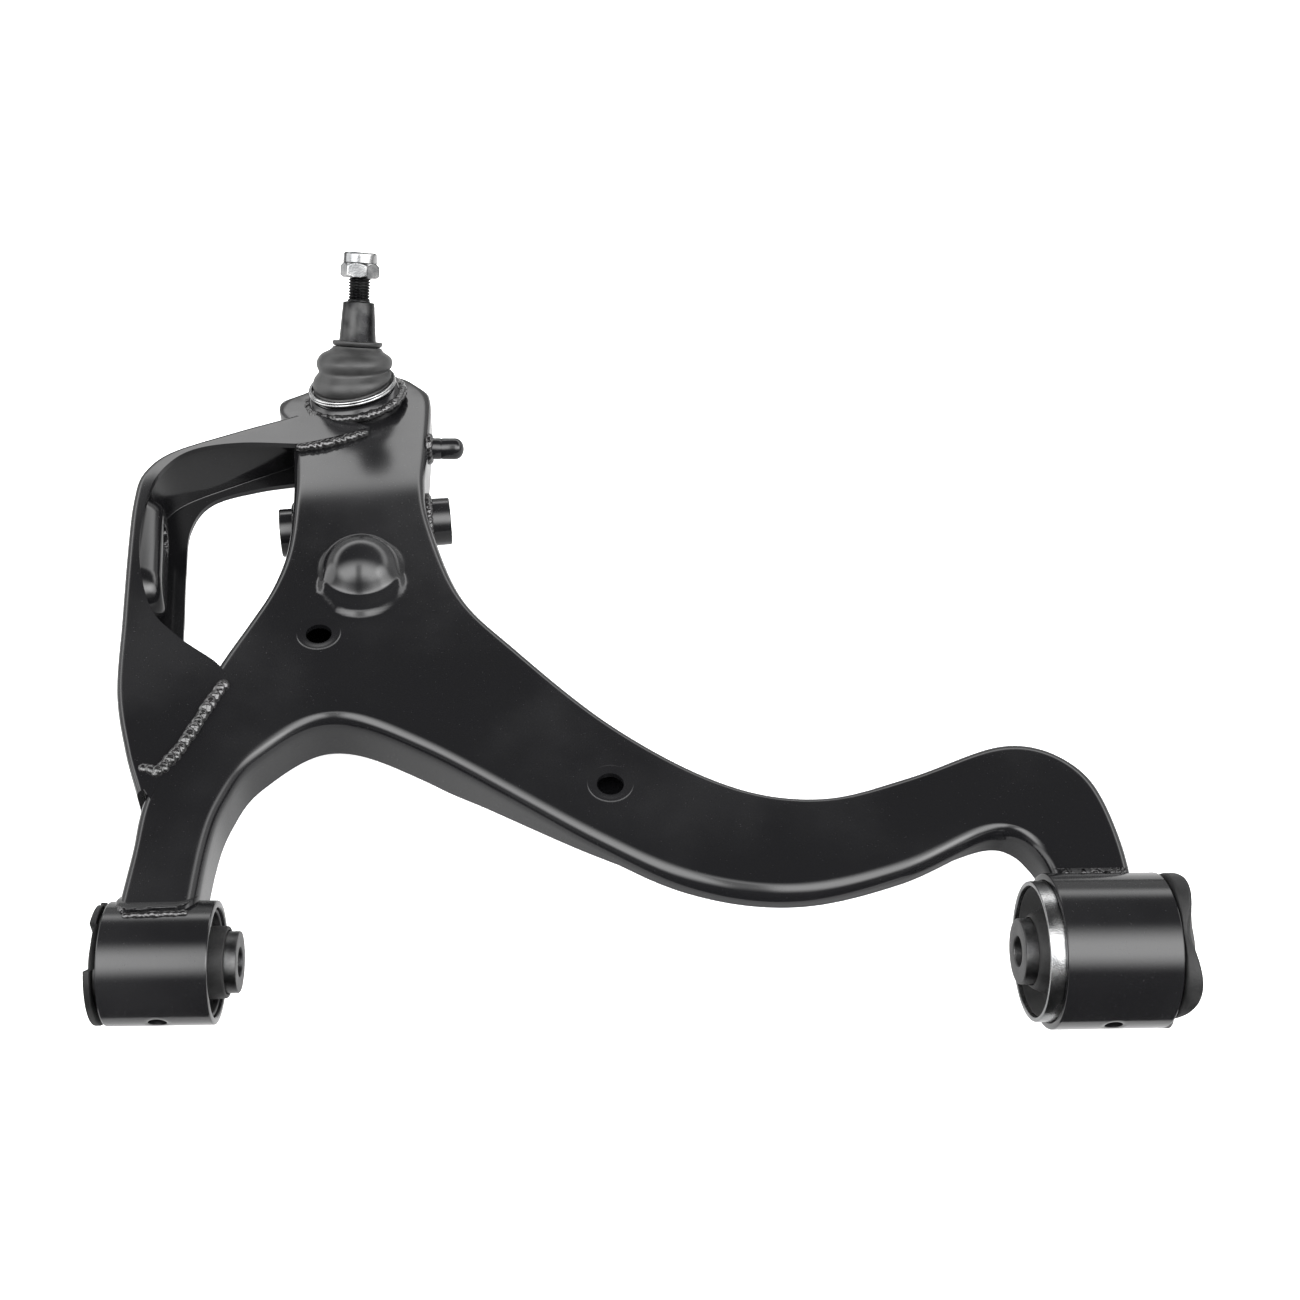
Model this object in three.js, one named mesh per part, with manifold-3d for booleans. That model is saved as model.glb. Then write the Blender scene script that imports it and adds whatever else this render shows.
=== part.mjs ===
// Front lower suspension control arm: a two-shell pressed steel arm with two pivot
// bushes, a welded damper bracket and a ball joint.
//
// Millimetres. X runs along the pivot axis from the front bush to the rear bush,
// Y points outboard to the ball joint, Z is up. The origin is on the pivot axis,
// halfway between the two bushes.
import * as THREE from 'three';
import { mergeVertices } from 'three/addons/utils/BufferGeometryUtils.js';
import Module from 'manifold-3d';

const wasm = await Module();
wasm.setup();
const { Manifold, Mesh: SolidMesh } = wasm;

// ---------------------------------------------------------------- driving dimensions
const GAP = 0.3; // clearance left between pieces that touch
const SHEET = 4; // thickness of the pressed upper shell and of the bracket
const LOWER_SHEET = 3.5; // thickness of the pressed lower shell

// Arm body
const PLATE_TOP = 28; // height of the flat top of the arm above the pivot axis
const FALL = 0.0135; // drop of the whole arm per millimetre towards the rear bush
const SWEEP = 0.0115; // outboard shift of the whole arm per millimetre towards the rear bush
const LEG_BOTTOM = -11; // underside of the front leg
const REAR_BOTTOM = -2; // underside of the rear leg
const MID_BOTTOM = 8; // underside of the thin middle of the rear arm
const NECK_BOTTOM = -22; // underside of the deep neck
const SKIRT_LIFT = 6; // how far the upper skirt stops above the underside
const LOWER_WALL = 15; // height of the lower shell's own walls
const HOLE_RADIUS = 7.8; // two drain and paint holes in the top
const HOLES = [[-188.5, 216.1], [-14.1, 98.4]];
const DOME = { x: -166.3, y: 272, z: 22, radius: 27.5 };

// Bend across the neck, where the top turns down towards the ball joint
const BEND_POINT = new THREE.Vector3(-175, 344, PLATE_TOP);
const BEND_YAW = THREE.MathUtils.degToRad(7.4);
const NECK_SLOPE = THREE.MathUtils.degToRad(8);

// Front bush (X positions of the two ends and outside radii)
const FRONT = {
  left: -285, right: -227.7, sleeve: 33.1, sleeveWall: 4, shellWall: 2, core: 16.6, bore: 8,
  coreLeft: -292.5, coreRight: -215.6, shellLeft: -287.4, shellRight: -229.5, flangeLeft: -291.2,
};
// Rear bush
const REAR = {
  left: 225.4, right: 289, sleeve: 42.9, sleeveWall: 4, shellWall: 2.6, core: 18.2, bore: 8.4,
  coreLeft: 209.7, coreRight: 304.3, shellLeft: 217.2, shellRight: 288.6, stopRight: 301,
  lobe: 46.7,
};
const LOBE_TURN = THREE.MathUtils.degToRad(65); // turn of the end-stop lobes from level
const DRAIN_RADIUS = 5; // drain hole on the inboard side of each sleeve

// Damper bolt line: bracket hole, then the tube that crosses the neck
const DAMPER = { x: -170, y: 336.5, z: 3, yaw: THREE.MathUtils.degToRad(6.4) };
const TUBE = { outer: 16, bore: 7.8, from: -55.5, to: 57 };
const PAD = { face: -128.5, depth: 13, base: 21, top: 18, hole: 9 };

// Side peg on the neck
const PEG = { y: 405, z: 13, radius: 7.5, from: -131.2, to: -105.5 };

// Ball joint
const BALL_CENTRE = new THREE.Vector3(-183.5, 456.1, 13.5);
const HOUSING_AXIS = new THREE.Vector3(-0.138, 0.224, 0.965).normalize();
const STUD_AXIS = new THREE.Vector3(0.054, 0.59, 0.805).normalize();
const BALL_RADIUS = 16;
const HOUSING_RADIUS = 33;
const CLIP = { inner: 28.2, outer: 31, from: 9.6, to: 13.6 };
const BOOT_WALL = 2.6;
const COLLAR = { radius: 18, inner: 14.4, at: 41.5, height: 4 };
const STUD = { neck: 8, shoulder: 68.7, taperBase: 13, taperTop: 11.4, thread: 8, end: 98.8 };
const NUT = { from: 84.8, hexTop: 95.2, top: 102.9, acrossFlats: 24, collar: 11.9, bore: 8.3 };

// ---------------------------------------------------------------- materials
const paint = () => new THREE.MeshStandardMaterial({ color: 0x14151a, roughness: 0.22, metalness: 0.1 });
const bead = () => new THREE.MeshStandardMaterial({ color: 0x17181c, roughness: 0.3, metalness: 0.15 });
const rubber = () => new THREE.MeshStandardMaterial({ color: 0x2b2b2c, roughness: 0.75, metalness: 0 });
const bareSteel = () => new THREE.MeshStandardMaterial({ color: 0x9b9d9f, roughness: 0.4, metalness: 1 });
const zinc = () => new THREE.MeshStandardMaterial({ color: 0xc9cbcb, roughness: 0.28, metalness: 1 });
const oiledSteel = () => new THREE.MeshStandardMaterial({ color: 0x3b3c3e, roughness: 0.38, metalness: 1 });
const plastic = () => new THREE.MeshStandardMaterial({ color: 0xd9d6c8, roughness: 0.5, metalness: 0 });

// ---------------------------------------------------------------- solid helpers
const X_AXIS = new THREE.Vector3(1, 0, 0);
const Z_AXIS = new THREE.Vector3(0, 0, 1);
// The arm is drawn level and square, then leaned so that both legs land on their sleeves.
const LEAN = new THREE.Matrix4().set(1, 0, 0, 0, SWEEP, 1, 0, 0, -FALL, 0, 1, 0, 0, 0, 0, 1);

/** Closed mesh to a manifold solid: merge vertices, drop slivers, face outwards. */
function solid(geometry, matrix = new THREE.Matrix4()) {
  let plain = geometry.clone().applyMatrix4(matrix);
  plain.deleteAttribute('normal');
  plain.deleteAttribute('uv');
  plain = mergeVertices(plain, 1e-4);
  const p = plain.attributes.position.array;
  const index = plain.index.array;
  const triangles = [];
  let volume = 0;
  for (let i = 0; i < index.length; i += 3) {
    const [a, b, c] = [index[i], index[i + 1], index[i + 2]];
    if (a === b || b === c || c === a) continue;
    triangles.push(a, b, c);
    const [u, v, w] = [a, b, c].map((k) => new THREE.Vector3(p[3 * k], p[3 * k + 1], p[3 * k + 2]));
    volume += u.dot(v.cross(w));
  }
  if (volume < 0) triangles.reverse();
  const mesh = new SolidMesh({
    numProp: 3,
    vertProperties: Float32Array.from(p),
    triVerts: Uint32Array.from(triangles),
  });
  return new Manifold(mesh);
}

/** A named mesh from a manifold solid. */
function piece(name, body, material) {
  const { vertProperties, triVerts } = body.getMesh();
  const geometry = new THREE.BufferGeometry();
  geometry.setAttribute('position', new THREE.BufferAttribute(Float32Array.from(vertProperties), 3));
  geometry.setIndex(new THREE.BufferAttribute(Uint32Array.from(triVerts), 1));
  geometry.computeVertexNormals();
  const mesh = new THREE.Mesh(geometry, material);
  mesh.name = name;
  return mesh;
}

/** The biggest of the separate bodies that a cut leaves. */
function largest(body) {
  return body.decompose().reduce((best, next) => (next.volume() > best.volume() ? next : best));
}

/** Matrix that takes a lathe (turned about Y) to the given origin and axis. */
function onAxis(origin, axis) {
  const along = axis.clone().normalize();
  const guide = Math.abs(along.z) > 0.9 ? X_AXIS : Z_AXIS;
  const side = guide.clone().addScaledVector(along, -guide.dot(along)).normalize();
  const third = new THREE.Vector3().crossVectors(side, along);
  return new THREE.Matrix4().makeBasis(side, along, third).setPosition(origin);
}

/** Solid of revolution from [radius, distance along the axis] pairs. */
function turned(profile, origin, axis, segments = 32) {
  const points = profile.map(([radius, along]) => new THREE.Vector2(radius, along));
  return solid(new THREE.LatheGeometry(points, segments), onAxis(origin, axis));
}

const rod = (radius, from, to, origin, axis, segments = 32) =>
  turned([[0, from], [radius, from], [radius, to], [0, to]], origin, axis, segments);

const tube = (outer, inner, from, to, origin, axis, segments = 32) =>
  turned([[inner, from], [outer, from], [outer, to], [inner, to], [inner, from]], origin, axis, segments);

/** Flat outline raised from one height to another, leaned with the arm. */
function prism(points, from, to) {
  const geometry = new THREE.ExtrudeGeometry(new THREE.Shape(points), {
    depth: to - from, bevelEnabled: false, curveSegments: 1,
  });
  return solid(geometry, LEAN.clone().multiply(new THREE.Matrix4().makeTranslation(0, 0, from)));
}

/** Moves every point of a counterclockwise outline outwards by the given distance. */
function grown(points, distance) {
  return points.map((point, i) => {
    const before = points[(i + points.length - 1) % points.length];
    const after = points[(i + 1) % points.length];
    const a = point.clone().sub(before).normalize();
    const b = after.clone().sub(point).normalize();
    const normal = new THREE.Vector2(a.y + b.y, -a.x - b.x).normalize();
    const stretch = Math.max(0.5, normal.x * b.y - normal.y * b.x);
    return point.clone().addScaledVector(normal, distance / stretch);
  });
}

/** Points along a smooth curve through the given points. */
function smooth(points, steps = 3) {
  const curve = new THREE.SplineCurve(points.map(([x, y]) => new THREE.Vector2(x, y)));
  return curve.getPoints(steps * (points.length - 1));
}

/** Round bar of the given radius along a list of points on the arm: a weld bead. */
function weldBar(points, radius, steps = 8, sides = 4) {
  const path = new THREE.CatmullRomCurve3(points.map((at) => new THREE.Vector3(...at).applyMatrix4(LEAN)));
  const section = new THREE.Shape();
  section.absarc(0, 0, radius, 0, 2 * Math.PI);
  const geometry = new THREE.ExtrudeGeometry(section, {
    steps, curveSegments: sides, bevelEnabled: false, extrudePath: path,
  });
  return solid(geometry);
}

// ---------------------------------------------------------------- arm outline
// Seen from above, counterclockwise from the rear bush.
const outerEdge = smooth([
  [276.5, 12], [276.5, 64], [262, 108.5], [224, 125.5], [160, 101], [105, 86.8], [50, 98.4], [-12, 141.6],
  [-71, 204.8], [-105.5, 250.2], [-127.4, 318.5], [-132.3, 356.5], [-132, 393], [-132, 440],
]);
const eyeEdge = smooth([
  [-132.6, 460], [-140, 475], [-150, 484.5], [-165, 492], [-184, 494.5], [-203, 488], [-215, 472],
], 2);
const frontTab = [[-225, 459], [-235, 452], [-235, 440], [-222, 426]];
const frontEdge = smooth([
  [-218, 393], [-213, 341.5], [-212.4, 291.5], [-218.8, 255.5], [-229.8, 225.6], [-243.8, 190.4],
  [-260, 139], [-273.5, 91], [-276.6, 50], [-279, 5],
], 2);
const innerEdge = smooth([
  [-238, 5], [-236, 61], [-230.5, 92], [-216, 121], [-177, 148.2], [-121.5, 126.2], [-24.3, 59.7],
  [31, 29.6], [88, 21], [148.5, 35.7], [206, 62.6], [228, 47.4], [232.5, 11.3],
]);
const OUTLINE = [
  ...outerEdge, ...eyeEdge, ...frontTab.map(([x, y]) => new THREE.Vector2(x, y)), ...frontEdge, ...innerEdge,
];
const FAR = 700; // longer than the whole arm, for cutting blocks
const DEEP = 60; // lower than the whole arm

/** Everything below the arm's top surface, raised by lift: flat, then sloping down the neck. */
function belowTop(lift) {
  const run = 250;
  const end = lift - run * Math.tan(NECK_SLOPE);
  const section = [[-FAR, -DEEP - 40], [run, -DEEP - 40], [run, end], [0, lift], [-FAR, lift]];
  return acrossBend(section);
}

/** A YZ section, measured from the bend line, extruded along the bend line. */
function acrossBend(section) {
  const shape = new THREE.Shape(section.map(([y, z]) => new THREE.Vector2(y, z)));
  const geometry = new THREE.ExtrudeGeometry(shape, { depth: 2 * FAR, bevelEnabled: false });
  const stand = new THREE.Matrix4().makeBasis(
    new THREE.Vector3(0, 1, 0), Z_AXIS, X_AXIS,
  ).multiply(new THREE.Matrix4().makeTranslation(0, 0, -FAR));
  const turn = new THREE.Matrix4().makeRotationZ(BEND_YAW).setPosition(BEND_POINT);
  return solid(geometry, LEAN.clone().multiply(turn).multiply(stand));
}

/** Everything below the arm's underside, raised by lift: deep neck, shallow rear arm. */
function belowUnderside(lift) {
  const neck = NECK_BOTTOM - PLATE_TOP + lift;
  const leg = LEG_BOTTOM - PLATE_TOP + lift;
  const floor = -DEEP - 50;
  const outboard = acrossBend([
    [-FAR, floor], [FAR, floor], [FAR, neck], [-30, neck], [-125, leg], [-FAR, leg],
  ]);
  const middle = MID_BOTTOM + lift;
  const section = [[-110, floor], [FAR, floor], [FAR, REAR_BOTTOM + lift], [225, REAR_BOTTOM + lift],
    [180, middle], [-10, middle], [-110, LEG_BOTTOM + lift]];
  const shape = new THREE.Shape(section.map(([x, z]) => new THREE.Vector2(x, z)));
  const geometry = new THREE.ExtrudeGeometry(shape, { depth: 2 * FAR, bevelEnabled: false });
  const lay = new THREE.Matrix4().makeRotationX(Math.PI / 2).setPosition(0, FAR, 0);
  return outboard.add(solid(geometry, LEAN.clone().multiply(lay)));
}

/** The arm as one filled block, with its outline and top moved out by grow. */
const filledArm = (grow, topGrow = grow) =>
  prism(grown(OUTLINE, grow), -DEEP, DEEP).intersect(belowTop(topGrow));

// ---------------------------------------------------------------- cutters shared by several pieces
const ORIGIN = new THREE.Vector3();
const frontSleeveCut = rod(FRONT.sleeve + GAP, FRONT.left - DEEP, FRONT.right + GAP, ORIGIN, X_AXIS, 40);
const rearSleeveCut = rod(REAR.sleeve + GAP, REAR.left - GAP, REAR.right + DEEP, ORIGIN, X_AXIS, 40);
const damperOrigin = new THREE.Vector3(DAMPER.x, DAMPER.y, DAMPER.z);
const damperAxis = X_AXIS.clone().applyAxisAngle(Z_AXIS, DAMPER.yaw);
const tubeCut = rod(TUBE.outer + GAP, -70, 70, damperOrigin, damperAxis);
const housingCut = rod(HOUSING_RADIUS + GAP, -60, 60, BALL_CENTRE, HOUSING_AXIS);

function cutForJoints(body) {
  return body.subtract(frontSleeveCut).subtract(rearSleeveCut).subtract(tubeCut).subtract(housingCut);
}

// ---------------------------------------------------------------- pressed shells
function upperShell() {
  const dome = solid(new THREE.SphereGeometry(DOME.radius, 20, 12), new THREE.Matrix4()
    .makeTranslation(DOME.x, DOME.y, DOME.z));
  const hollowDome = solid(new THREE.SphereGeometry(DOME.radius - SHEET, 20, 12), new THREE.Matrix4()
    .makeTranslation(DOME.x, DOME.y, DOME.z));
  const aboveSkirt = prism(grown(OUTLINE, -1), PLATE_TOP - SHEET - 1, DEEP + 20);
  const outside = filledArm(0).subtract(belowUnderside(SKIRT_LIFT)).add(dome.intersect(aboveSkirt));
  const inside = filledArm(-SHEET).add(hollowDome.intersect(aboveSkirt));
  let shell = outside.subtract(inside);
  for (const [x, y] of HOLES) {
    const centre = new THREE.Vector3(x, y, 0).applyMatrix4(LEAN);
    shell = shell.subtract(rod(HOLE_RADIUS, 0, DEEP, centre, Z_AXIS, 24));
  }
  return cutForJoints(shell);
}

function lowerShell() {
  const inset = -SHEET - GAP;
  const block = filledArm(inset).intersect(belowUnderside(LOWER_WALL)).subtract(belowUnderside(0));
  const hollow = filledArm(inset - LOWER_SHEET, 10).subtract(belowUnderside(LOWER_SHEET));
  return cutForJoints(block.subtract(hollow));
}

// ---------------------------------------------------------------- damper bracket
const bracketEdge = smooth([
  [-279.5, 95], [-291, 127], [-302.5, 171.5], [-308.5, 230], [-314.5, 292], [-317.5, 335], [-315.5, 364],
  [-301, 388], [-264, 411], [-234, 428],
]);
const EAR = [[-215, 431], [-192, 426], [-170, 416], [-193, 404], [-221, 395]];
const TOP_WINDOW = smooth([
  [-222, 396], [-257.7, 398], [-292.9, 394], [-308.5, 376], [-312.2, 340.5], [-307.8, 289.5], [-292.8, 239.5],
  [-272.9, 214],
], 2);
const BOTTOM_WINDOW = smooth([
  [-222, 404], [-253.8, 402], [-284, 388], [-296, 363], [-290, 323], [-286, 283], [-280, 243], [-268, 215],
], 2);
const BRACKET_BOTTOM = -28;

function damperBracket() {
  const towardsArm = [
    new THREE.Vector2(-190, 430), new THREE.Vector2(-190, 190), new THREE.Vector2(-240, 95),
  ];
  const plan = [...bracketEdge, ...towardsArm].reverse();
  const windowEnd = [
    new THREE.Vector2(-241.8, 188), new THREE.Vector2(-190, 190), new THREE.Vector2(-190, 400),
  ];
  const channel = prism(plan, BRACKET_BOTTOM, PLATE_TOP).intersect(belowTop(SHEET + GAP));
  const channelHollow = prism(grown(plan, -SHEET), BRACKET_BOTTOM + SHEET, PLATE_TOP - SHEET)
    .intersect(belowTop(GAP));
  const topWindow = prism([...TOP_WINDOW, ...windowEnd], 0, DEEP);
  const bottomWindow = prism([...BOTTOM_WINDOW, ...windowEnd], -DEEP, 0.01);
  const ear = prism(EAR.map(([x, y]) => new THREE.Vector2(x, y)).concat([
    new THREE.Vector2(-262, 398), new THREE.Vector2(-262, 411), new THREE.Vector2(-236, 426.5),
  ]), -20, DEEP).intersect(belowTop(SHEET + GAP)).subtract(belowTop(GAP));
  const padSkin = turned([
    [PAD.base + SHEET, PAD.face - PAD.depth], [PAD.top + 2, PAD.face], [PAD.hole, PAD.face],
    [PAD.hole, PAD.face - SHEET], [PAD.top - 2, PAD.face - SHEET], [PAD.base, PAD.face - PAD.depth - 6],
    [PAD.base + SHEET, PAD.face - PAD.depth - 6], [PAD.base + SHEET, PAD.face - PAD.depth],
  ], damperOrigin, damperAxis);
  const padMouth = turned([
    [0, PAD.face - PAD.depth - 30], [PAD.base, PAD.face - PAD.depth - 30],
    [PAD.base, PAD.face - PAD.depth - 6],
    [PAD.top - 2, PAD.face - SHEET], [0, PAD.face - SHEET],
  ], damperOrigin, damperAxis);
  const webZone = prism(plan, BRACKET_BOTTOM, PLATE_TOP);
  const armClear = prism(grown(OUTLINE, GAP), -DEEP, DEEP);
  const body = channel.subtract(channelHollow).subtract(topWindow).subtract(bottomWindow)
    .subtract(padMouth).add(padSkin.intersect(webZone)).subtract(armClear);
  return body.add(ear).subtract(housingCut);
}

// ---------------------------------------------------------------- bushes
/** Sleeve with a drain hole on its inboard side, a little below the axis. */
function bushSleeve(bush) {
  const drain = rod(DRAIN_RADIUS, 0, DEEP, new THREE.Vector3((bush.left + bush.right) / 2, 0, 0),
    new THREE.Vector3(0, -0.97, -0.24), 20);
  const inner = bush.sleeve - bush.sleeveWall;
  return tube(bush.sleeve, inner, bush.left, bush.right, new THREE.Vector3(), X_AXIS, 36).subtract(drain);
}

const coreSleeve = (bush) => tube(bush.core, bush.bore, bush.coreLeft, bush.coreRight,
  new THREE.Vector3(), X_AXIS, 28);

const pressShell = (bush) => {
  const outer = bush.sleeve - bush.sleeveWall - GAP;
  return tube(outer, outer - bush.shellWall, bush.shellLeft, bush.shellRight, ORIGIN, X_AXIS, 32);
};

/** Rubber bonded between the core and the press shell, with hollow ends and a front flange. */
function frontRubber() {
  const outer = FRONT.sleeve - FRONT.sleeveWall - FRONT.shellWall - 2 * GAP;
  const inner = FRONT.core + GAP;
  const flange = FRONT.sleeve - GAP;
  return turned([
    [inner, FRONT.flangeLeft + 1], [flange, FRONT.flangeLeft], [flange, FRONT.shellLeft - GAP],
    [outer, FRONT.shellLeft - GAP], [outer, FRONT.shellRight - 2], [outer - 2.5, FRONT.shellRight - 4],
    [inner + 3, FRONT.shellRight - 8], [inner + 2.6, FRONT.coreRight - 6], [inner, FRONT.coreRight - 6],
    [inner, FRONT.flangeLeft + 1],
  ], new THREE.Vector3(), X_AXIS, 28);
}

function rearRubber() {
  const outer = REAR.sleeve - REAR.sleeveWall - REAR.shellWall - 2 * GAP;
  const inner = REAR.core + GAP;
  return turned([
    [inner, REAR.coreLeft + 6], [inner + 4, REAR.shellLeft + 6], [outer - 4, REAR.shellLeft + 4],
    [outer, REAR.shellLeft + 1.5], [outer, REAR.shellRight - 2], [inner, REAR.shellRight - 2],
    [inner, REAR.coreLeft + 6],
  ], new THREE.Vector3(), X_AXIS, 28);
}

/** Rubber end stop with four rounded lobes, outside the rear end of the rear bush. */
function rearEndStop() {
  const lobes = 4;
  const points = [];
  const steps = 32;
  const mean = REAR.lobe - 4;
  for (let i = 0; i < steps; i += 1) {
    const angle = (2 * Math.PI * i) / steps;
    const radius = mean + 4 * Math.cos(lobes * (angle - LOBE_TURN));
    points.push(new THREE.Vector2(radius * Math.cos(angle), radius * Math.sin(angle)));
  }
  const shape = new THREE.Shape(points);
  const hole = new THREE.Path().absarc(0, 0, REAR.core + GAP, 0, 2 * Math.PI);
  shape.holes.push(hole);
  const geometry = new THREE.ExtrudeGeometry(shape, {
    depth: REAR.stopRight - REAR.right - GAP, bevelEnabled: false, curveSegments: 20,
  });
  const stand = new THREE.Matrix4().makeBasis(new THREE.Vector3(0, 1, 0), Z_AXIS, X_AXIS);
  return solid(geometry, stand.setPosition(REAR.right + GAP, 0, 0));
}

// ---------------------------------------------------------------- neck details
const damperTube = () => tube(TUBE.outer, TUBE.bore, TUBE.from, TUBE.to, damperOrigin, damperAxis);

function sidePeg() {
  const origin = new THREE.Vector3(0, PEG.y, PEG.z);
  const dome = 5;
  return turned([
    [0, PEG.from], [PEG.radius, PEG.from], [PEG.radius, PEG.to - dome], [PEG.radius * 0.75, PEG.to - 1.5],
    [0, PEG.to],
  ], origin, X_AXIS, 24);
}

// ---------------------------------------------------------------- ball joint
const ballJoint = (profile, segments) => turned(profile, BALL_CENTRE, HOUSING_AXIS, segments);
const onStud = (profile, segments) => turned(profile, BALL_CENTRE, STUD_AXIS, segments);

/** Points on a circle about the ball centre, as [radius, height] pairs between two heights. */
function arcPoints(radius, fromHeight, toHeight, steps) {
  const start = Math.asin(fromHeight / radius);
  const end = Math.asin(toHeight / radius);
  return Array.from({ length: steps + 1 }, (_, i) => {
    const angle = start + ((end - start) * i) / steps;
    return [radius * Math.cos(angle), radius * Math.sin(angle)];
  });
}

const SEAT_OUTER = 20.5;
const SEAT_TOP = 6;
const SEAT_BOTTOM = -13.5;
const HOUSING_BOTTOM = -21;

/** Forged housing: closed round the seat, open above for the stud to lean. */
const housing = () => ballJoint([
  [SEAT_OUTER + GAP, HOUSING_BOTTOM], [HOUSING_RADIUS, HOUSING_BOTTOM], [HOUSING_RADIUS, 7],
  [23, 8.2], [23, 12.5], [20.5, 12.5], [16, SEAT_TOP + GAP + 2], [16, SEAT_TOP + GAP],
  [SEAT_OUTER + GAP, SEAT_TOP + GAP], [SEAT_OUTER + GAP, HOUSING_BOTTOM],
], 32);

const seat = () => ballJoint([
  [SEAT_OUTER, SEAT_BOTTOM], [SEAT_OUTER, SEAT_TOP],
  ...arcPoints(BALL_RADIUS + 0.6, SEAT_TOP, SEAT_BOTTOM, 6), [SEAT_OUTER, SEAT_BOTTOM],
], 28);

const springWasher = () => ballJoint([
  [9, SEAT_BOTTOM - 2.4], [SEAT_OUTER - 1, SEAT_BOTTOM - 1.6], [SEAT_OUTER - 1, SEAT_BOTTOM - GAP],
  [9, SEAT_BOTTOM - 1.1], [9, SEAT_BOTTOM - 2.4],
], 28);

const coverPlate = () => ballJoint([
  [0, HOUSING_BOTTOM + 1], [SEAT_OUTER, HOUSING_BOTTOM + 1], [SEAT_OUTER, SEAT_BOTTOM - 4],
  [0, SEAT_BOTTOM - 4],
], 28);

/** Stud: ball, waisted neck, taper, threaded end. */
const ballStud = () => onStud([
  [0, -BALL_RADIUS + 3], [BALL_RADIUS * 0.55, -BALL_RADIUS + 3],
  ...arcPoints(BALL_RADIUS, -BALL_RADIUS + 3.2, 13.8, 7),
  [STUD.neck, 15], [STUD.neck, 22], [STUD.taperBase - 1.2, 34], [STUD.taperBase, 38],
  [STUD.taperTop, STUD.shoulder], [STUD.thread, STUD.shoulder + 0.8], [STUD.thread, STUD.end], [0, STUD.end],
], 24);

function studNut() {
  const flats = NUT.acrossFlats / 2;
  const corner = flats / Math.cos(Math.PI / 6);
  const hex = solid(new THREE.CylinderGeometry(corner, corner, NUT.hexTop - NUT.from, 6),
    onAxis(BALL_CENTRE.clone().addScaledVector(STUD_AXIS, (NUT.from + NUT.hexTop) / 2), STUD_AXIS));
  const collar = onStud([
    [0, NUT.hexTop - 2], [NUT.collar + 1.2, NUT.hexTop - 2], [NUT.collar, NUT.top - 1.5],
    [NUT.collar - 1.2, NUT.top], [0, NUT.top],
  ], 28);
  const bore = onStud([
    [0, NUT.from - 5], [NUT.bore, NUT.from - 5], [NUT.bore, STUD.end + GAP], [0, STUD.end + GAP],
  ], 28);
  return hex.add(collar).subtract(bore);
}

const clipRing = () => ballJoint([
  [CLIP.inner, CLIP.from], [CLIP.outer, CLIP.from], [CLIP.outer, CLIP.to], [CLIP.inner, CLIP.to],
  [CLIP.inner, CLIP.from],
], 36);

const collarRing = () => onStud([
  [COLLAR.inner, COLLAR.at - COLLAR.height], [COLLAR.radius - 1, COLLAR.at - COLLAR.height],
  [COLLAR.radius, COLLAR.at - 2], [COLLAR.radius, COLLAR.at], [COLLAR.inner, COLLAR.at],
  [COLLAR.inner, COLLAR.at - COLLAR.height],
], 32);

/**
 * Rubber boot: a bellows turned about Y, then bent so that its foot stands on the housing
 * axis and its top on the leaning stud axis.
 */
function dustBoot() {
  const bellows = [[27.4, 0], [27.2, 0.16], [27.6, 0.3], [24.4, 0.46], [25.4, 0.66], [23, 0.84], [18, 1]];
  const skin = smooth(bellows, 1);
  const inside = skin.map((point) => new THREE.Vector2(point.x - BOOT_WALL, point.y)).reverse();
  const profile = [...skin, ...inside, skin[0].clone()];
  const geometry = new THREE.LatheGeometry(profile, 28);
  const foot = BALL_CENTRE.clone().addScaledVector(HOUSING_AXIS, CLIP.from - 0.8);
  const top = BALL_CENTRE.clone().addScaledVector(STUD_AXIS, COLLAR.at - COLLAR.height - GAP);
  const reach = foot.distanceTo(top);
  const footTurn = new THREE.Quaternion().setFromRotationMatrix(onAxis(new THREE.Vector3(), HOUSING_AXIS));
  const lean = new THREE.Quaternion().setFromUnitVectors(HOUSING_AXIS, STUD_AXIS);
  const topTurn = lean.clone().multiply(footTurn);
  const middle = new THREE.CubicBezierCurve3(foot, foot.clone().addScaledVector(HOUSING_AXIS, reach * 0.45),
    top.clone().addScaledVector(STUD_AXIS, -reach / 3), top);
  const position = geometry.attributes.position;
  const point = new THREE.Vector3();
  for (let i = 0; i < position.count; i += 1) {
    const height = THREE.MathUtils.clamp(position.getY(i), 0, 1);
    const turn = footTurn.clone().slerp(topTurn, THREE.MathUtils.smoothstep(height, 0.1, 0.95));
    point.set(position.getX(i), 0, position.getZ(i)).applyQuaternion(turn).add(middle.getPoint(height));
    position.setXYZ(i, point.x, point.y, point.z);
  }
  return solid(geometry);
}

// ---------------------------------------------------------------- weld beads
const armClear = filledArm(GAP);
const bracketBody = damperBracket();

function bracketSeamWeld() {
  const line = [[-239, 177.5], [-246, 161], [-254, 139], [-261.5, 121], [-272, 105.5]];
  const bar = weldBar(line.map(([x, y]) => [x, y, PLATE_TOP + 1]), 4.2);
  return bar.subtract(prism([
    new THREE.Vector2(-320, 60), new THREE.Vector2(-200, 60), new THREE.Vector2(-200, 240),
    new THREE.Vector2(-320, 240),
  ], 0, PLATE_TOP + GAP));
}

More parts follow.
